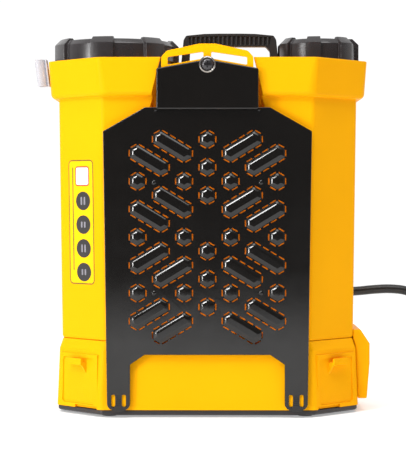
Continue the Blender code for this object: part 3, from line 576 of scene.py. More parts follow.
# ---------------------------------------------------------------- hose
def hose_points():
    """The whole hose: over the crest, two turns of the coil, and round to the spray gun."""
    last_y = COIL_AT[1] + COIL_R
    first_x, last_x = HOSE_ROUTE[0][0], HOSE_ROUTE[-1][0]
    lead = [(x, mix(ELBOW[1], last_y, (x - first_x) / (last_x - first_x)), z) for x, z in HOSE_ROUTE]
    points = smooth_route(lead, 6)
    top = HOSE_ROUTE[-1][1]
    steps = COIL_TURNS * COIL_TURN_POINTS
    for k in range(1, steps + 1):
        turn = pi / 2 - 2 * pi * k / COIL_TURN_POINTS
        z = mix(top, TAIL_Z, k / steps)
        points.append(Vector((COIL_AT[0] + COIL_R * cos(turn), COIL_AT[1] + COIL_R * sin(turn), z)))
    middle = (GUN_X - TAIL_R, last_y - TAIL_R)
    points.append(Vector(((COIL_AT[0] + middle[0]) / 2, last_y, TAIL_Z)))
    for k in range(17):
        turn = pi / 2 * (1 - k / 16)
        z = mix(TAIL_Z, GUN_Z, k / 16)
        points.append(Vector((middle[0] + TAIL_R * cos(turn), middle[1] + TAIL_R * sin(turn), z)))
    points.append(Vector((GUN_X, GUN_Y + 0.3, GUN_Z)))
    return points


def make_hose():
    points = [point * MM for point in hose_points()]
    curve = bpy.data.curves.new("hose", "CURVE")
    curve.dimensions = "3D"
    curve.bevel_depth = HOSE_D / 2 * MM
    curve.bevel_resolution = 6
    curve.use_fill_caps = True
    spline = curve.splines.new("POLY")
    spline.points.add(len(points) - 1)
    for slot, point in zip(spline.points, points):
        slot.co = (*point, 1.0)
    spline.use_smooth = True
    hose = added("hose", curve)
    show(hose, "hose_black", "spray_hose", "hose_coil", "hose_tail")
    length = sum((b - a).length for a, b in zip(points, points[1:]))
    return hose, points[0], length


# ---------------------------------------------------------------- tank
def channel(name, grow=0):
    """The recess behind the hanger: narrow at the rim, wider at its foot, its walls sloping inwards."""
    foot, top = 364 - grow, RIM_Z + 30
    rings = []
    for y, shrink in ((-140, 0), (-99.5 + grow, 9)):
        low, high = 76.6 - shrink + grow, 51.9 - shrink + grow
        rings.append(
            [(-low, y, foot + shrink / 2), (low, y, foot + shrink / 2), (high, y, top), (-high, y, top)]
        )
    return loft(name, rings)


def tank_outside():
    """Rings from the tank's foot over the collar and rim and down the inner wall to the deck."""
    low, high = (TANK_HALF_W[0], TANK_HALF_D[0]), (TANK_HALF_W[1], TANK_HALF_D[1])
    rings = [
        octagon(*low, TANK_Z, grow=-2.2), octagon(*low, TANK_Z + 0.8, grow=-0.9), octagon(*low, TANK_Z + 3),
        octagon(*high, COLLAR_Z - 1.6), octagon(*high, COLLAR_Z, grow=0.6)
    ]
    for k in range(7):
        t = pi / 2 * k / 6
        grow = COLLAR_LIP - COLLAR_R * (1 - sin(t))
        chamfer = mix(CHAMFER, COLLAR_CHAMFER, grow / COLLAR_LIP)
        rings.append(octagon(high[0], high[1], COLLAR_Z + COLLAR_R * (1 - cos(t)), chamfer, grow))
    half = RIM_WALL / 2
    for k in range(7):
        t = pi * k / 6
        grow = half * (cos(t) - 1)
        rings.append(octagon(RIM_HALF_W, RIM_HALF_D, RIM_Z - half * (1 - sin(t)), RIM_CHAMFER, grow))
    for k in range(5):
        t = pi / 2 * k / 4
        grow = -RIM_WALL - 4 * (1 - cos(t))
        rings.append(octagon(RIM_HALF_W - 1, RIM_HALF_D - 1, DECK_Z + 4 * (1 - sin(t)), RIM_CHAMFER, grow))
    return rings


def tank_inside():
    rings = []
    for z, w, d in (
        (TANK_Z + TANK_WALL, TANK_HALF_W[0] - 5, TANK_HALF_D[0] - 5),
        (TANK_Z + TANK_WALL + 3, *(TANK_HALF_W[0], TANK_HALF_D[0])),
        (DECK_Z - TANK_WALL, *(TANK_HALF_W[1], TANK_HALF_D[1])),
    ):
        rings.append(octagon(w, d, z, grow=-TANK_WALL))
    return rings


def make_tank():
    tank = loft("tank_shell", tank_outside())
    combine(tank, channel("cut"))
    combine(tank, box("cut", (-48, -140, 412), (48, -90, 460)))
    for side in (-1, 1):
        x = HANDLE_X + side * 47.2
        ear = [(-7, DECK_Z - 2), (7, DECK_Z - 2), *arc((0, HANDLE_PIVOT_Z), 7, 0, 180, 10, 6)]
        combine(tank, prism("add", ear, x - 3.6, x + 3.6, "X"), "UNION")
    combine(tank, box("add", (-8.5, -119.2, 396), (8.5, -96, 427)), "UNION")
    low = TANK_Z + 10
    pad = rounded(mirrored([(119, low), (119, 336), (73, 362)]), 6)
    # Raised pad on the tank's front behind the plate: its deep orange is painted shade, with a painted glow,
    # for the yellow tank in the plate's shadow
    raised = cushion("tank_front_pad", pad, -104, PLATE_Y + PLATE_SKIN + 0.3, 1.5)
    show(raised, "tank_yellow", paint="painted_shade_glow_orange")
    cavity = loft("cut", tank_inside())
    combine(cavity, channel("keep", TANK_WALL))
    combine(tank, cavity)
    for lid in (FILL_LID, DOSING_LID):
        drill(tank, lid["neck"] - NECK_WALL, 390, 450, lid["at"], steps=64)
    drill(tank, 3.3, HANDLE_X - 60, HANDLE_X + 60, (0, HANDLE_PIVOT_Z), "X", 24)
    drill(tank, 2.2, -130, -101, (0, SCREW_Z), "Y", 24)
    soften(show(tank, "tank_yellow", "tank"), 0.7)
    for name, lid in (("fill_neck", FILL_LID), ("dosing_neck", DOSING_LID)):
        make_neck(name, lid)


def make_neck(name, lid):
    """Threaded neck on the deck, with a rounded foot and mouth."""
    bore, outer = lid["neck"] - NECK_WALL, lid["neck"] - 0.6
    profile = [
        (bore, DECK_Z - 3.5), (outer + 3, DECK_Z - 3.5), (outer + 3, DECK_Z + 0.3), (outer + 0.8, DECK_Z + 1),
        (outer, DECK_Z + 2.6)
    ]
    for k in range(3):
        z = DECK_Z + 8.5 + 5.2 * k
        profile += [(outer, z - 1.4), (outer + 0.9, z - 0.5), (outer + 0.9, z + 0.5), (outer, z + 1.4)]
    profile += [
        (outer, NECK_TOP_Z - 0.8), (outer - 0.8, NECK_TOP_Z), (bore + 0.6, NECK_TOP_Z),
        (bore, NECK_TOP_Z - 0.6)
    ]
    show(turned(name, profile, lid["at"], steps=96, hollow=True), "tank_yellow")


# ---------------------------------------------------------------- base
def make_base():
    """Skirt under the tank with sunk corner panels, strap hooks and a notched foot."""
    levels = [
        (2, 0, -0.8), (2, -1, 0), (1, 0.8, -0.8), (1, -1, 0), (0, 0, 0), (0, 0, -BASE_WALL),
        (1, -1, -BASE_WALL), (2, -2.5, -BASE_WALL)
    ]
    rings = [octagon(BASE_HALF_W[k], BASE_HALF_D[k], BASE_Z[k] + rise, grow=grow) for k, rise, grow in levels]
    base = loft("base_shell", rings)
    middle = (BASE_HALF_W[0] - CHAMFER / 2 - 1, -BASE_HALF_D[0] + CHAMFER / 2 + 1)
    for side in (-1, 1):
        spot = spun((side * middle[0], middle[1], 0), side * EIGHTH)
        backing = box("add", (-34, -0.5, 9), (34, 6, 74))
        panel = [(-30.5, 13.5), (30.5, 13.5), (29, 69), (-29, 69)]
        recess = prism("cut", rounded(panel, 4), -12, 0.8)
        inner = -side
        shelf = [(3, 59), (-8.5, 61), (-8.5, 69), (-6, 69), (-6, 64), (3, 64)]
        hook = prism("add", shelf, -13, 13, "X")
        web = prism("add", [(3, 47), (-8.5, 64), (3, 64)], 0, 2.8, "X")
        moved(web, spun((inner * 13 - (2.8 if inner > 0 else 0), 0, 0), 0))
        notch_low, notch_high = sorted((inner * 34, inner * -6))
        notch = box("cut", (notch_low, -20, 0), (notch_high, 2, 12.2))
        for piece in (backing, recess, hook, web, notch):
            combine(base, moved(piece, spot), "DIFFERENCE" if piece in (recess, notch) else "UNION")
        boss = box("add", (side * LEG_X - 8.8, PLATE_Y + 2.2, 12.6), (side * LEG_X + 8.8, -109, 29.2))
        combine(base, boss, "UNION")
    drill(base, 7, 100, 120, (ELBOW[0], ELBOW[2]), "Y", 32)
    soften(show(base, "base_yellow", "base_housing"), 0.7)


def make_tray():
    """Black floor pan with an upstand inside the skirt, rubber feet and cross-head screws."""
    section = [
        (180, 107.5, 2.1), (182, 109.5, 2.4), (183.8, 111.2, 4), (183.8, 111.2, 8.3), (181.2, 108.6, 8.4),
        (180.8, 108.2, 15), (179, 106.4, 15), (178.8, 106.2, 8.4)
    ]
    tray = loft("floor_pan", [octagon(*level) for level in section])
    for x in (-168, 168):
        for y in (-45, 45):
            drill(tray, 4.7, 1, 4.5, (x, y), steps=24)
    pad = turned("add", [(11.2, 0), (12, 0.8), (12, 3)], steps=48)
    combine(tray, pad, "UNION")
    soften(show(tray, "tray_black", "bottom_tray"), 0.4)
    for k in range(1, 5):
        low, high = cad_box(f"rubber_foot_{k}")
        at, r = ((low.x + high.x) / 2, (low.y + high.y) / 2), (high.x - low.x) / 2
        profile = [(r - 3.5, low.z), (r - 1.4, low.z + 0.2), (r - 0.4, low.z + 0.8), (r, high.z)]
        profile = [(r - 6, low.z + 0.7), (r - 4.6, low.z)] + profile
        show(turned(f"foot_pad_{k}", profile, at, steps=40), "rubber", f"rubber_foot_{k}")
        make_screw(f"pan_screw_{k}", f"tray_screw_{k}")


def make_screw(name, node):
    """Pan-head screw with a cross recess, seen from below."""
    low, high = cad_box(node)
    at, r = ((low.x + high.x) / 2, (low.y + high.y) / 2), (high.x - low.x) / 2
    profile = [(r * 0.55, low.z), (r * 0.85, low.z + 0.4), (r, low.z + 1), (r, high.z)]
    head = turned(name, profile, at, steps=32)
    for width, depth in ((2.8, 0.5), (0.5, 2.8)):
        combine(
            head, box("cut", (at[0] - width, at[1] - depth, 0), (at[0] + width, at[1] + depth, low.z + 0.9))
        )
    show(head, "screw_steel", node)


# ---------------------------------------------------------------- back plate
def hexagon_bump(x, z, slope=0, flats=BUMP_FLATS):
    """Outline of a pointy-topped hexagon, or of one stretched to the next lattice point on its right."""
    radius = flats / sqrt(3)
    far = Vector((BUMP_PITCH_X, slope * BUMP_PITCH_Z / 2)) if slope else Vector((0, 0))
    tilt = atan2(far.y, far.x) if slope else radians(30)
    outline = []
    for k in range(6):
        turn = tilt + radians(60 * k - 60)
        centre = Vector((x, z)) + (far if k < 3 else Vector((0, 0)))
        outline.append((centre.x + radius * cos(turn), centre.y + radius * sin(turn)))
    return outline


def bump_places():
    """Every bump as (x, z, slope): six-sided ones, then long ones, on a lattice of offset columns."""
    column = [(0, j) for j in (0, 1, 2, 4, 5, 6)]
    column += [(k, j + 0.5) for k in (-3, -1, 1, 3) for j in (1, 3, 5)]
    made = [(k * BUMP_PITCH_X, BUMP_TOP_Z - j * BUMP_PITCH_Z, 0.0) for k, j in column]
    for row, slope in ((0, -1), (2, -1), (5, 1), (7, 1)):
        for k, step in ((-2, 0), (-3, 0.5)):
            z = BUMP_TOP_Z - (row - slope * step) * BUMP_PITCH_Z
            made.append((k * BUMP_PITCH_X, z, slope))
            made.append((-(k + 1) * BUMP_PITCH_X, z + slope * BUMP_PITCH_Z / 2, -slope))
    return made


def slits_round(outline):
    """Narrow cutters along each side of a bump's foot: four on a long side, one on a short one."""
    made = []
    for k, start in enumerate(outline):
        start, stop = Vector(start), Vector(outline[(k + 1) % len(outline)])
        way = (stop - start).normalized()
        count = 4 if (stop - start).length > 30 else 1
        for part in range(count):
            middle = (start + stop) / 2 + way * SLIT_PITCH * (part - (count - 1) / 2)
            middle += Vector((way.y, -way.x)) * 0.3
            cutter = box("slit", (-SLIT[0] / 2, -130, -SLIT[1] / 2), (SLIT[0] / 2, PLATE_Y + 3, SLIT[1] / 2))
            made.append(moved(cutter, spun((middle.x, 0, middle.y), -atan2(way.y, way.x), "Y")))
    return made


def make_plate():
    """Gloss black plate: skin with a turned-back edge, domed bumps ringed by slits, legs with strap slots."""
    leg = arc((LEG_X, 16.5), LEG_HALF_W, 180, 360, 16, 9)
    right = [(74.5, 370.4), (124.5, 341.9), *leg[::-1], (92.3, 63.6), (75, 75.3)]
    plate = cushion("plate", rounded(mirrored(right), 2, 3), PLATE_FLANGE_Y, PLATE_Y, 0.9)
    hollow = mirrored([(73.6, 368.4), (122.6, 340.6), (119.8, 78), (75, 80)])
    combine(plate, prism("cut", hollow, PLATE_Y + PLATE_SKIN, PLATE_FLANGE_Y + 10))
    for side in (-1, 1):
        low, high = (side * LEG_X - 9.4, PLATE_Y + 1.5, 12), (side * LEG_X + 9.4, -100, 29.8)
        combine(plate, box("cut", low, high))
    domes, slits = [], []
    levels = ((1, -0.8), (1, 0), (0.97, 1.3), (0.93, 2.2), (0.79, 3.2), (0.64, 4), (0.5, 4.6), (0.36, BUMP_H))
    for x, z, slope in bump_places():
        rings = []
        for share, height in levels:
            flat = rounded(hexagon_bump(x, z, slope, (BUMP_FLATS - 2) * share), 4.2 * share, 4)
            rings.append([(u, PLATE_Y - height, v) for u, v in flat])
        domes.append(loft("dome", rings))
        slits += slits_round(hexagon_bump(x, z, slope, BUMP_FLATS - 1.6))
    for side in (-1, 1):
        for z in (BUMP_TOP_Z - 1.54 * BUMP_PITCH_Z, BUMP_TOP_Z - 5.5 * BUMP_PITCH_Z):
            stud = [(2.8, PLATE_Y + 0.8), (2.8, PLATE_Y - 0.4), (1.8, PLATE_Y - 1.2), (0.8, PLATE_Y - 1.4)]
            domes.append(turned("stud", stud, (side * 63.7, z), "Y", 20))
    combine(plate, gather("add", domes), "UNION")
    combine(plate, gather("cut", slits))
    for side in (-1, 1):
        for offset in (-STRAP_SLOT_X, STRAP_SLOT_X):
            x, half = side * LEG_X + offset, STRAP_SLOT_W / 2
            low, high = STRAP_SLOT_Z
            slot = rounded(rect(x - half, low, x + half, high), 1.8, 3)
            combine(plate, prism("cut", slot, -130, -100))
    show(plate, "plate_black", "back_plate")
    for side, name in ((-1, "strap_bar_left"), (1, "strap_bar_right")):
        make_strap_bar(name, side * LEG_X)


def make_strap_bar(name, x):
    """Ribs across the bar between a leg's two strap slots, which keep the webbing from sliding."""
    low, high = STRAP_SLOT_Z
    ribs = []
    for k in range(6):
        z = mix(low + 1.5, high - 1.5, k / 5)
        profile = [(-0.7, 0.6), (0.7, 0.6), (0.4, -0.7), (-0.4, -0.7)]
        rib = prism("rib", [(PLATE_Y + v, z + u) for u, v in profile], x - 3, x + 3, "X")
        ribs.append(rib)
    show(soften(gather(name, ribs), 0.2), "plate_black")


def make_hood():
    """Hood over the recess: peaked top, rounded sides, and a filleted foot where it meets the plate."""
    low, shoulder, peak = HOOD_Z
    outline = rounded(mirrored([(HOOD_HALF_W, low), (HOOD_HALF_W, shoulder), (9.5, peak)]), 2.4, 4)
    front = cushion("hood", outline, -RIM_HALF_D - 0.4, HOOD_Y, 1.9, steps=5)
    drill(front, 2.9, -140, -110, (0, SCREW_Z), "Y", 24)
    sill = box(
        "sill", (-HOOD_HALF_W + 0.4, HOOD_Y + 2.2, low + 0.6),
        (HOOD_HALF_W - 0.4, PLATE_Y + 0.5, COLLAR_Z - 4.5)
    )
    corners = []
    for side in (-1, 1):
        knob = [(2.2, PLATE_Y + 0.5), (2.2, PLATE_Y - 1.6), (1.4, PLATE_Y - 2.6), (0.4, PLATE_Y - 2.9)]
        corners.append(turned("corner", knob, (side * (HOOD_HALF_W + 0.8), low - 0.2), "Y", 20))
    show(gather("plate_hood", [front, sill, *corners]), "plate_black")


def make_hanger():
    """Yellow tab with two strap slots, its cupped washer and its cross-head screw."""
    tab = mirrored([(54.7, 398), (54.7, 429.9), (48, 437.1), (9.5, 445.4)])
    hanger = prism("hanger", rounded(tab, 6, 6), -124.6, -119.8)
    for side in (-1, 1):
        slot = [(4.7, 435.9), (4.7, 427.9), (47.2, 420.3), (47.2, 429.6)]
        combine(hanger, prism("cut", rounded([(side * x, z) for x, z in slot], 1.4, 3), -130, -110))
    drill(hanger, 2.9, -140, -110, (0, SCREW_Z), "Y", 24)
    soften(show(hanger, "hanger_yellow", "strap_hanger"), 0.6)
    front = HOOD_Y - 0.3
    cup = [
        (6.2, front), (9.5, front), (9.9, front - 0.4), (9.9, front - 0.9), (9.4, front - 1.5),
        (8.4, front - 2.1), (7.8, front - 1.9), (6.6, front - 0.8)
    ]
    show(turned("cup_washer", cup, (0, SCREW_Z), "Y", 64, hollow=True), "washer_steel", "hanger_washer")
    seat, r = front - 1, 7
    head = [
        (2.2, -103), (2.2, seat), (r - 0.4, seat), *arc((0, seat - 1.2), r, 0, -78.75, 7, 3.2),
        (0.6, seat - 4.4)
    ]
    screw = turned("hanger_bolt", head, (0, SCREW_Z), "Y", 48)
    for half_x, half_z in ((4, 0.8), (0.8, 4)):
        combine(
            screw, box("cut", (-half_x, seat - 10, SCREW_Z - half_z), (half_x, seat - 2.2, SCREW_Z + half_z))
        )
    show(soften(screw, 0.2, angle=50), "screw_dark", "hanger_screw")


# ---------------------------------------------------------------- lids
LID_FLARE = 2.2  # the caps' skirts stand out this much above the rim
LID_RISE = 2.2  # and their lugs this much above their dished middle's edge


def lug_share(turn):
    """1 on a lug, 0 between lugs, with steep flanks."""
    share = (turn * LID_LUGS / (2 * pi)) % 1.0
    share = min(share, 1.0 - share)
    return min(1.0, max(0.0, (0.222 - share) / 0.018))


def lid_ring(at, radius, z, notch=0, drop=0):
    """Ring whose radius falls by the notch and whose height falls by the drop between lugs."""
    ring = []
    marks = (
        -0.222, -0.213, -0.204, -0.12, 0.0, 0.12, 0.204, 0.213, 0.222, 0.29, 0.36, 0.43, 0.5, 0.57, 0.64, 0.71
    )
    for lug in range(LID_LUGS):
        for mark in marks:
            turn = 2 * pi * (lug + mark) / LID_LUGS
            lift = lug_share(turn)
            heading, r = turn - radians(100), radius - notch * (1 - lift)
            ring.append((at[0] + r * cos(heading), at[1] + r * sin(heading), z - drop * (1 - lift)))
    return ring


def make_lid(name, node, lid, body):
    """Screw lid: lugs proud of its wall and top, a dished middle with a raised ring, a plain bore."""
    at, r, top = lid["at"], lid["radius"], lid["top"]
    bore, roof, crest = lid["neck"] + 1.2, NECK_TOP_Z + 3.1, top + LID_RISE
    flare, lug_foot, well = r + LID_FLARE, RIM_Z - 0.4, top - 5.2
    section = [
        (r * 0.3, well), (r * 0.52, well), (r * 0.55, top - 3.6), (r * 0.6, top - 3.6), (r * 0.63, well),
        (r - 15, well), (r - 12.8, top - 1.2), (r - 11.8, crest - 1.2, 0, 1.4),
        (r - 11, crest, 0, 2.6), (r - 6, crest, 1.6, 2.6), (r - 5.2, crest - 0.4, 1.8, 2.6),
        (flare - 1, crest - 6.6, 4.6, 0.6), (flare, crest - 7.8, 4.8, 0.6),
        (flare, RIM_Z + 2.2, 4.4), (flare - 0.4, RIM_Z + 1.4, 4.4), (r, lug_foot, 4.2),
        (r, LID_FOOT_Z + 1, 4.2), (r - 0.6, LID_FOOT_Z, 4.2), (bore + 0.6, LID_FOOT_Z),
        (bore, LID_FOOT_Z + 0.8), (bore, roof),
    ]
    piece = loft(name, [lid_ring(at, *level) for level in section])
    soften(show(piece, "lid_black", node, body=body), 0.5, 2, 40)


def make_lids():
    make_lid("fill_cap", "fill_lid", FILL_LID, "fill_lid")
    make_lid("dosing_cap", "dosing_lid", DOSING_LID, "dosing_lid")
    low, high = cad_box("lid_vent")
    at = FILL_LID["at"]
    vent = [
        (6, low.z), (6, low.z + 1.8), (5.4, low.z + 2.6), (4, low.z + 3), (3, low.z + 2), (1.6, low.z + 2),
        (1, low.z + 3)
    ]
    show(turned("vent_plug", vent, at, steps=40), "rubber", "lid_vent", body="fill_lid")
    for name, node, lid, body in (
        ("fill_seal", "fill_gasket", FILL_LID, "fill_lid_ring"),
        ("dosing_seal", "dosing_gasket", DOSING_LID, "dosing_lid_ring"),
    ):
        low, high = cad_box(node)
        inner, outer, half = lid["neck"] - NECK_WALL, lid["neck"], (high.z - low.z) / 2
        section = arc(((inner + outer) / 2, low.z + half), (outer - inner) / 2, 0, 360 * 13 / 14, 13, half)
        show(turned(name, section, lid["at"], steps=96, hollow=True), "gasket_rubber", node, body=body)


def make_strainer():
    """Strainer basket: solid ring and floor, with a mesh wall held by ribs."""
    low, high = cad_box("strainer_basket")
    at = FILL_LID["at"]
    rim, top, foot = FILL_LID["neck"] - NECK_WALL - 1, high.z, low.z
    steps, rows = 96, 22
    bm = bmesh.new()
    loops = []
    for row in range(rows + 1):
        share = row / rows
        r, z = mix(47, rim - 3, share), mix(foot + 1.5, top - 4, share)
        turns = [2 * pi * k / steps for k in range(steps)]
        loops.append([vertex(bm, (at[0] + r * cos(t), at[1] + r * sin(t), z)) for t in turns])
    for a, b in zip(loops, loops[1:]):
        bridge(bm, a, b)
    mesh_wall = place("strainer_mesh", bm)
    wire = mesh_wall.modifiers.new("weave", "WIREFRAME")
    wire.thickness = 0.7 * MM
    wire.use_boundary = True
    show(mesh_wall, "strainer_grey")
    ring = [(rim - 3.5, top), (rim, top), (rim, top - 3.5), (rim - 2.2, top - 4.6), (rim - 4, top - 4)]
    pieces = [turned("ring", ring, at, steps=96, hollow=True)]
    floor = [(48, foot + 2.2), (48, foot), (44, foot), (44, foot + 1.6)]
    pieces.append(turned("ring", floor, at, steps=96, hollow=True))
    pieces.append(disc("floor", 44.2, foot + 0.4, foot + 1.6, at, steps=96))
    for k in range(8):
        turn = 2 * pi * k / 8
        lean = atan2(rim - 3 - 47, top - foot - 6)
        rib = box("rib", (-0.7, -1.4, 0), (1, 1.4, (top - foot - 4) / cos(lean)))
        pieces.append(moved(rib, spun((*at, foot + 1), turn) @ spun((47, 0, 0), lean, "Y")))
    show(gather("strainer_frame", pieces), "strainer_grey", "strainer_basket")


# ---------------------------------------------------------------- carrying handle and lance clip
def make_handle():
    """Arched carrying handle: smooth rails above and below a grip of close upright ribs."""
    w, foot, top = HANDLE_HALF_W, HANDLE_PIVOT_Z - 6, HANDLE_TOP_Z
    right = [
        (w + 3, foot), (w + 3, HANDLE_PIVOT_Z + 6), (w - 0.8, top - 8), (w - 4, top - 2.6),
        (w * 0.55, top - 0.4), (w * 0.25, top)
    ]
    inner = [(w - 7.3, foot), (w - 9, top - 22.5), (w - 14, top - 16.5)]
    outline = mirrored([(HANDLE_X + x, z) for x, z in right], HANDLE_X)
    outline += mirrored([(HANDLE_X - x, z) for x, z in inner], HANDLE_X)
    handle = prism("handle", rounded(outline, 3, 4), -6.2, 6.2)
    window = [(-w + 8.5, -14), (w - 8.5, -14), (w - 7, -4.5), (0, -3), (-w + 7, -4.5)]
    window = [(HANDLE_X + x, top + z) for x, z in window]
    for low, high in ((-8, -4), (4, 8)):
        combine(handle, prism("cut", rounded(window, 1.5, 3), low, high))
    drill(handle, 3.3, HANDLE_X - 70, HANDLE_X + 70, (0, HANDLE_PIVOT_Z), "X", 24)
    soften(show(handle, "handle_black", "carry_handle", body="carry_handle"), 0.9, 3)
    ribs, count = [], 18
    for k in range(count):
        x = HANDLE_X + mix(-w + 11.2, w - 11.2, k / (count - 1))
        rib = rect(x - 1.3, -7, x + 1.3, 7)
        crest = top - 3.6 - 1.2 * abs(x - HANDLE_X) / w
        ribs.append(prism("rib", rounded(rib, 0.8, 3), top - 15, crest, "Z"))
    show(gather("handle_ribs", ribs), "handle_black", body="carry_handle")
    for node in ("handle_pin_left", "handle_pin_right"):
        low, high = cad_box(node)
        side = 1 if low.x > HANDLE_X else -1
        inner_x, outer_x = (low.x, high.x) if side > 0 else (high.x, low.x)
        shoulder = outer_x - side * 1.2
        shape = [
            (2.4, inner_x), (3, inner_x + side * 0.8), (3, shoulder), (4.4, shoulder),
            (4.5, shoulder + side * 0.4), (3.6, outer_x), (1.6, outer_x), (1.2, outer_x - side * 0.5)
        ]
        show(turned(node + "_head", shape, (0, HANDLE_PIVOT_Z), "X", 32), "screw_steel", node)


def make_clip():
    """White spring clip at the collar's left, leaning with the collar's side."""
    outer, inner = 8.8, 6.2
    low, high = (corner.z for corner in cad_box("lance_clip"))
    ring = arc(CLIP_AT, outer, 228, 492, 28) + arc(CLIP_AT, inner, 492, 228, 28)
    jaw = prism("lance_clip_body", rounded(ring, 0.9, 3), low, high, "Z")
    pad = rounded(rect(-201.2, -39.5, -199, -20.5), 0.7, 3)
    combine(jaw, prism("add", pad, low, high, "Z"), "UNION")
    lean = Matrix.Identity(4)
    lean[0][2] = -CLIP_LEAN
    foot = Matrix.Translation((0, 0, RIM_Z * MM))
    moved(jaw, foot @ lean @ foot.inverted())
    soften(show(jaw, "clip_white", "lance_clip"), 0.4)


# ---------------------------------------------------------------- control box
def make_control_box():
    side = [
        (185.3, 15.5), (196.5, 15.5), (200, 59.4), (200, 83.3), (188.5, 100.8), (179.2, 100.8), (179.2, 90.5),
        (182.6, 79.7)
    ]
    shell = prism("box_shell", side, -48, 48)
    window = rounded(rect(-40, 21.5, 40, 78.5), 4, 5)
    combine(shell, prism("cut", window, 187.6, 210, "X"))
    soften(show(shell, "base_yellow", "control_box"), 1.6, 3)
    low, high = cad_box("control_panel")
    plate = rounded(rect(low.y, low.z, high.y, high.z), 4, 5)
    show(cushion("panel_plate", plate, low.x, high.x, 0.4, "X", 3), "panel_black", "control_panel")


def dial_marks():
    """Rising bars round the knob's sweep, from low to high flow."""
    y, z = KNOB
    marks = []
    for k in range(9):
        turn = radians(225 - 270 * k / 8)
        length = 1.2 + 0.2 * k
        bar = box("mark", (PANEL_FACE - 0.4, -0.5, 11.8), (PANEL_FACE - 0.1, 0.5, 11.8 + length))
        marks.append(moved(bar, spun((0, y, z), pi / 2 - turn, "X")))
    show(gather("dial_marks", marks), "panel_black", paint="print_white")


def make_controls():
    """Rocker switch, ribbed speed knob, charging socket with its cap, and a battery meter with level bars."""
    y, z = SWITCH
    edge = rounded(rect(y - 9.5, z - 13, y + 9.5, z + 13), 1.8, 4)
    bezel = cushion("switch_frame", edge, PANEL_FACE, PANEL_FACE + 3.2, 0.9, "X")
    combine(bezel, box("cut", (PANEL_FACE - 10, y - 7, z - 10.4), (PANEL_FACE + 10, y + 7, z + 10.4)))
    show(bezel, "panel_black", "rocker_bezel")
    rocker = [(0.4, -9.6), (3.4, -9.8), (4, -5), (4.8, 0), (5.4, 5), (6, 9.8), (3, 9.8), (0.6, 0)]
    key = prism("switch_rocker", [(PANEL_FACE + u, z + v) for u, v in rocker], y - 6.6, y + 6.6)
    soften(show(key, "switch_red", "rocker_switch", body="rocker_switch"), 0.5)
    bar = box("mark", (-0.2, -0.4, -2.2), (0.2, 0.4, 2.2))
    lean = spun((PANEL_FACE + 5.6, y, z + 5.5), radians(7), "Y")
    show(moved(bar, lean), "switch_red", body="rocker_switch", paint="print_white")
    y, z = KNOB
    grips = []
    for k in range(96):
        turn, crest = 2 * pi * k / 96, (k % 6 in (0, 1, 2))
        grips.append((turn, 0.3 if crest else -0.3))
    rings = []
    for r, x, grip in (
        (10.5, 0, 0), (10.5, 1.6, 0), (10, 2.2, 0), (8.8, 2.6, 0), (8.5, 3, 1),
        (8, 8.2, 1), (7.4, 8.8, 0), (5, 8.8, 0), (4.6, 8.5, 0),
    ):
        rings.append(
            [(PANEL_FACE + x, y + (r + grip * g) * cos(t), z + (r + grip * g) * sin(t)) for t, g in grips]
        )
    show(loft("flow_knob", rings), "panel_black", "speed_knob", body="speed_knob")
    pointer = box("pointer", (PANEL_FACE + 3, y - 0.9, z + 3.8), (PANEL_FACE + 9.1, y + 0.9, z + 9.3))
    show(soften(pointer, 0.3), "panel_black", body="speed_knob", paint="print_white")
    dial_marks()
    y, z = SOCKET
    ring = [(4.2, 0), (8, 0), (8, 1.4), (7.6, 2), (6.8, 2.6), (4.8, 2.6), (4.2, 2)]
    ring = [(r, PANEL_FACE + x) for r, x in ring]
    show(turned("socket_ring", ring, (y, z), "X", 48, hollow=True), "panel_black", "charge_socket")
    make_socket_cap(y, z)
    low, high = cad_box("voltmeter")
    lens = rounded(rect(low.y, low.z, high.y, high.z), 1.6, 4)
    show(cushion("meter_lens", lens, low.x, high.x, 0.7, "X"), "meter_black", "voltmeter")
    y, z = METER
    bars = []
    for k in range(4):
        left = y - 9.2 + 4.9 * k
        bars.append(box("bar", (high.x - 0.2, left, z - 3.6), (high.x + 0.1, left + 3.7, z - 1 + 1.1 * k)))
    show(gather("meter_bars", bars), "meter_black", paint="display_green")


def make_socket_cap(y, z):
    """Rubber cap over the charging socket, with a plug, a strap and a rolled hinge."""
    low, hinge_x, hinge_z = PANEL_FACE + 2.9, PANEL_FACE + 3, z + 12.8
    cap = turned("socket_cover", [(7.4, low), (8, low + 0.5), (8, low + 1.2), (7, low + 2)], (y, z), "X", 48)
    combine(cap, soften(box("add", (low, y - 2.5, z), (low + 1.4, y + 2.5, z + 12)), 0.2), "UNION")
    combine(cap, disc("add", 1.8, y - 4, y + 4, (hinge_x, hinge_z), "Y", 24), "UNION")
    plug = turned("add", [(3, low - 2.2), (3.8, low - 1.4), (3.8, low + 1)], (y, z), "X", 32)
    combine(cap, plug, "UNION")
    combine(cap, box("add", (low + 1.5, y - 3, z - 6.2), (low + 2.6, y + 3, z - 5)), "UNION")
    soften(show(cap, "rubber", "socket_cap", body="socket_cap"), 0.3)


# ---------------------------------------------------------------- hose fittings, tie and spray gun
def ribbed(name, profile, at, axis, ribs, depth, steps_per_rib=6):
    """Turned piece whose wall is scalloped into ribs where a profile point asks for it."""
    steps = ribs * steps_per_rib
    rings = []
    for r, w, share in profile:
        ring = []
        for k in range(steps):
            turn = 2 * pi * k / steps
            wave = max(0, cos(turn * ribs)) ** 0.5 - 1.0
            reach = r + depth * share * wave
            ring.append(along(axis, at[0] + reach * cos(turn), at[1] + reach * sin(turn), w))
        rings.append(ring)
    return loft(name, rings)


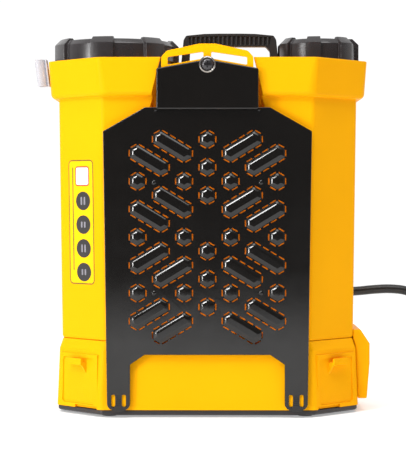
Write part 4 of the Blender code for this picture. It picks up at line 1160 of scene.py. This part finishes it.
def make_outlets():
    x, y, z = ELBOW
    elbow = disc("outlet_elbow", 6.5, 99, y, (x, z), "Y", 40)
    body = [(6, z - 8.5), (8.5, z - 6.2), (8.5, z + 12)]
    combine(elbow, turned("add", body, (x, y), steps=40), "UNION")
    collar = [(9.8, 112.4), (10.5, 113.2), (10.5, 115), (9.8, 116)]
    combine(elbow, turned("add", collar, (x, z), "Y", 40), "UNION")
    soften(show(elbow, "fitting_black", "hose_elbow"), 0.4)
    low, high = cad_box("hose_nut")
    profile = [
        (10.2, low.z, 0), (11.2, low.z + 0.8, 1), (11.2, low.z + 8.6, 1), (10.3, low.z + 9.6, 0),
        (8, high.z - 0.8, 0), (7.2, high.z, 0)
    ]
    show(ribbed("hose_cap_nut", profile, (x, y), "Z", 14, 0.8), "fitting_black", "hose_nut")


def make_tie():
    """Strap tie round the coil's turns, with its buckle."""
    low, high = cad_box("coil_tie")
    outline = rect(low.x, low.z, high.x, high.z)
    band = prism("tie_band", rounded(outline, 4.5, 6), low.y, high.y)
    combine(band, prism("cut", rounded(inset(outline, 1), 3.8, 6), low.y - 10, high.y + 10))
    for k in range(5):
        z = mix(low.z + 7, high.z - 7, k / 4)
        combine(band, box("cut", (low.x - 1, low.y + 3, z - 0.6), (low.x + 0.4, high.y - 3, z + 0.6)))
    soften(show(band, "tie_black", "coil_tie"), 0.3)


def make_gun():
    """Ribbed grip, valve head, lever, telescopic lance and turning nozzle."""
    centre = (GUN_X, GUN_Z)
    low, high = cad_box("gun_nut")
    profile = [
        (7.8, high.y, 0), (8.6, high.y - 0.8, 0), (9.8, high.y - 4, 0), (10, high.y - 5, 1),
        (10, low.y + 1, 1), (9.2, low.y, 0)
    ]
    nut = ribbed("gun_cap_nut", profile, centre, "Y", 12, 0.7)
    show(nut, "fitting_black", "gun_nut")
    rear, head, nose = GUN_Y - 15.3, -48, -80
    shape = [(9.2, rear), (10.5, rear - 1.2), (12.3, rear - 5), (12.5, rear - 7)]
    for k in range(9):
        y = rear - 11 - 6.2 * k
        r = 12.3 - 0.4 * sin(pi * k / 8)
        shape += [(r, y + 2.2), (r - 0.8, y + 1.4), (r - 0.8, y - 0.6), (r, y - 1.4)]
    shape += [(11.8, -18), (12.2, -40), (12.5, head), (13.5, head - 4), (13.5, nose + 4.5)]
    shape += [(13, nose + 2), (11.5, nose)]
    body = turned("gun_grip", shape, centre, "Y", 48)
    pivot_y, pivot_z = -62, GUN_Z + 19.5
    cheek = [(pivot_y - 8, GUN_Z), (pivot_y + 8, GUN_Z), *arc((pivot_y, pivot_z), 5.5, 0, 180, 10, 5)]
    for side in (-1, 1):
        x = GUN_X + side * 8
        combine(body, prism("add", cheek, x - 1.8, x + 1.8, "X"), "UNION")
    drill(body, 2.3, GUN_X - 20, GUN_X + 20, (pivot_y, pivot_z), "X", 24)
    soften(show(body, "gun_black", "gun_body"), 0.4)
    outline = [
        (pivot_y - 6, pivot_z + 3.5), (pivot_y - 6, pivot_z - 3.5), (pivot_y + 12, pivot_z - 2.5),
        (0, pivot_z + 1.8), (20, pivot_z + 5), (36, pivot_z + 9.5), (36, pivot_z + 12.5), (18, pivot_z + 9.5),
        (-10, pivot_z + 6.8), (pivot_y + 12, pivot_z + 4.5)
    ]
    lever = prism("gun_trigger", rounded(outline, 2.5, 4), GUN_X - 5.8, GUN_X + 5.8, "X")
    drill(lever, 2.3, GUN_X - 20, GUN_X + 20, (pivot_y, pivot_z), "X", 24)
    for k in range(5):
        y = -6 + 8 * k
        drill(lever, 1.2, GUN_X - 7.5, GUN_X + 7.5, (y, pivot_z + 8.8 + 0.12 * y), "X", 12)
    soften(show(lever, "lever_red", "gun_lever", body="gun_lever"), 0.9, 3)
    pin_low, pin_high = cad_box("lever_pin")
    pin = [(1.4, pin_low.x), (2, pin_low.x + 0.5), (2, pin_high.x - 0.5), (1.4, pin_high.x)]
    show(turned("trigger_pin", pin, (pivot_y, pivot_z), "X", 24), "screw_steel", "lever_pin")
    profile = [
        (10.2, nose - 0.3, 0), (11, nose - 1.2, 1), (11, -89.5, 1), (10.2, -90.3, 0), (8.8, -95.2, 0),
        (8, -96, 0)
    ]
    show(ribbed("lance_cap_nut", profile, centre, "Y", 12, 0.8), "fitting_black", "lance_nut")
    pipe = [(5.4, -96.3), (6.4, -96.3), (6.4, -220), (5.4, -220)]
    show(turned("lance_outer", pipe, centre, "Y", 40, hollow=True), "lance_steel", "lance_tube")
    grip = [(5.3, -220.3), (8.4, -220.3), (9, -221)]
    for k in range(4):
        y = -222.2 - 2.6 * k
        grip += [(9, y), (8.3, y - 0.6), (8.3, y - 1.4), (9, y - 2)]
    grip += [(9, -232.3), (8.3, -233), (5.3, -233)]
    show(turned("lance_clamp", grip, centre, "Y", 40, hollow=True), "fitting_black", "lance_collar")
    slider = [(3.5, -100), (5, -100), (5, -245), (3.5, -245)]
    show(
        turned("lance_inner", slider, centre, "Y", 40, hollow=True), "lance_steel", "lance_slider",
        body="lance"
    )
    body = [
        (6.4, -245.3), (7, -245.8), (8.5, -247), (8.5, -249), (7.8, -249.6), (7.8, -251.6), (8.5, -252.2),
        (8.5, -256)
    ]
    show(turned("nozzle_stem", body, centre, "Y", 40), "fitting_black", "nozzle_body", body="lance")
    profile = [
        (11.7, -256.3, 0), (12.5, -257, 1), (12.5, -265.5, 1), (11.8, -266.8, 0), (9.5, -272, 0),
        (8, -273.6, 0), (6, -274, 0), (4.2, -274, 0), (3, -272.8, 0), (0.9, -272.4, 0)
    ]
    show(
        ribbed("nozzle_tip", profile, centre, "Y", 16, 0.8), "nozzle_orange", "nozzle_cap", body="nozzle_cap"
    )


# ---------------------------------------------------------------- printed panel on the left chamfer
PRINT_Z = (158, 308.5)
PRINT_HALF_W = 22.7
PRINT_LIFT = 0.15
PRINT_T = 0.2


def on_chamfer(u, z, lift):
    """A point on the tank's front left chamfer: u across it towards the front, z up it."""
    share = (z - TANK_Z - 3) / (COLLAR_Z - TANK_Z - 4.6)
    half_w, half_d = mix(*TANK_HALF_W, share), mix(*TANK_HALF_D, share)
    x, y = -(half_w - CHAMFER / 2), -(half_d - CHAMFER / 2)
    out = sqrt(0.5)
    return (x + u * out - lift * out, y - u * out - lift * out, z)


def stamp(outline, lift=PRINT_LIFT):
    """A thin printed patch with that (u, z) outline."""
    rings = [[on_chamfer(u, z, lift + h) for u, z in outline] for h in (0, PRINT_T)]
    return loft("patch", rings)


def frame_patch(outline, width, lift=PRINT_LIFT):
    """A thin printed line round an outline."""
    inner = inset(outline, width)
    rings = [[on_chamfer(u, z, lift + h) for u, z in line] for line, h in (
        (outline, 0), (outline, PRINT_T), (inner, PRINT_T), (inner, 0))]
    return loft("line", rings, looped=True)


def rectangle(u, z, half_u, half_z, radius, steps=4):
    return rounded(rect(u - half_u, z - half_z, u + half_u, z + half_z), radius, steps)


def make_print():
    """Generic printed panel: a ruled frame, a bordered blank patch and four dark discs with plain bars."""
    middle = sum(PRINT_Z) / 2
    border = rectangle(0, middle, PRINT_HALF_W, (PRINT_Z[1] - PRINT_Z[0]) / 2, 5.8, 8)
    line = rectangle(-15, middle + 4, 0.7, 62.5, 0.5, 2)
    show(gather("print_frame", [frame_patch(border, 0.9), stamp(line)]), "tank_yellow", paint="print_black")
    show(
        stamp(inset(border, 1.2), PRINT_LIFT - 0.1), "tank_yellow", paint="print_yellow"
    ).name = "print_ground"
    patch = rectangle(2.5, 289, 12.8, 12, 4, 6)
    show(gather("print_patch_border", [frame_patch(patch, 1.6)]), "tank_yellow", paint="print_red")
    show(stamp(inset(patch, 1.4)), "tank_yellow", paint="print_white").name = "print_patch"
    discs, bars = [], []
    for k in range(4):
        z = 259 - 28.8 * k
        spot = (3.6, z)
        oval = [(spot[0] + 1.16 * (u - spot[0]), v) for u, v in arc(spot, 11.3, 0, 351, 39)]
        discs.append(stamp(oval))
        for part in (-1, 1):
            bars.append(
                stamp(
                    rectangle(spot[0] + part * 2.8, z, 1.4, 4.8 - 1.2 * (k % 2), 0.9, 3), PRINT_LIFT + PRINT_T
                )
            )
    show(gather("print_discs", discs), "tank_yellow", paint="print_black")
    show(gather("print_bars", bars), "tank_yellow", paint="print_grey")


# ---------------------------------------------------------------- parts that stay as the frame has them
def dress_inner_parts():
    """Inner parts keep their CAD shape and get their finishes."""
    slots = {part["node"]: part["material_slot"] for part in frame["record"]["subparts"]}
    for node, piece in frame["nodes"].items():
        if piece.hide_render:
            continue
        piece.data.materials.clear()
        piece.data.materials.append(FINISHES[slots[node]])
        piece.data.shade_smooth()
        piece.data.set_sharp_from_angle(angle=radians(32))


make_camera()
make_world()
make_stage()
hose, hose_exit, hose_length = make_hose()
make_tank()
make_base()
make_tray()
make_plate()
make_hood()
make_hanger()
make_lids()
make_strainer()
make_handle()
make_clip()
make_control_box()
make_controls()
make_outlets()
make_tie()
make_gun()
make_print()
dress_inner_parts()
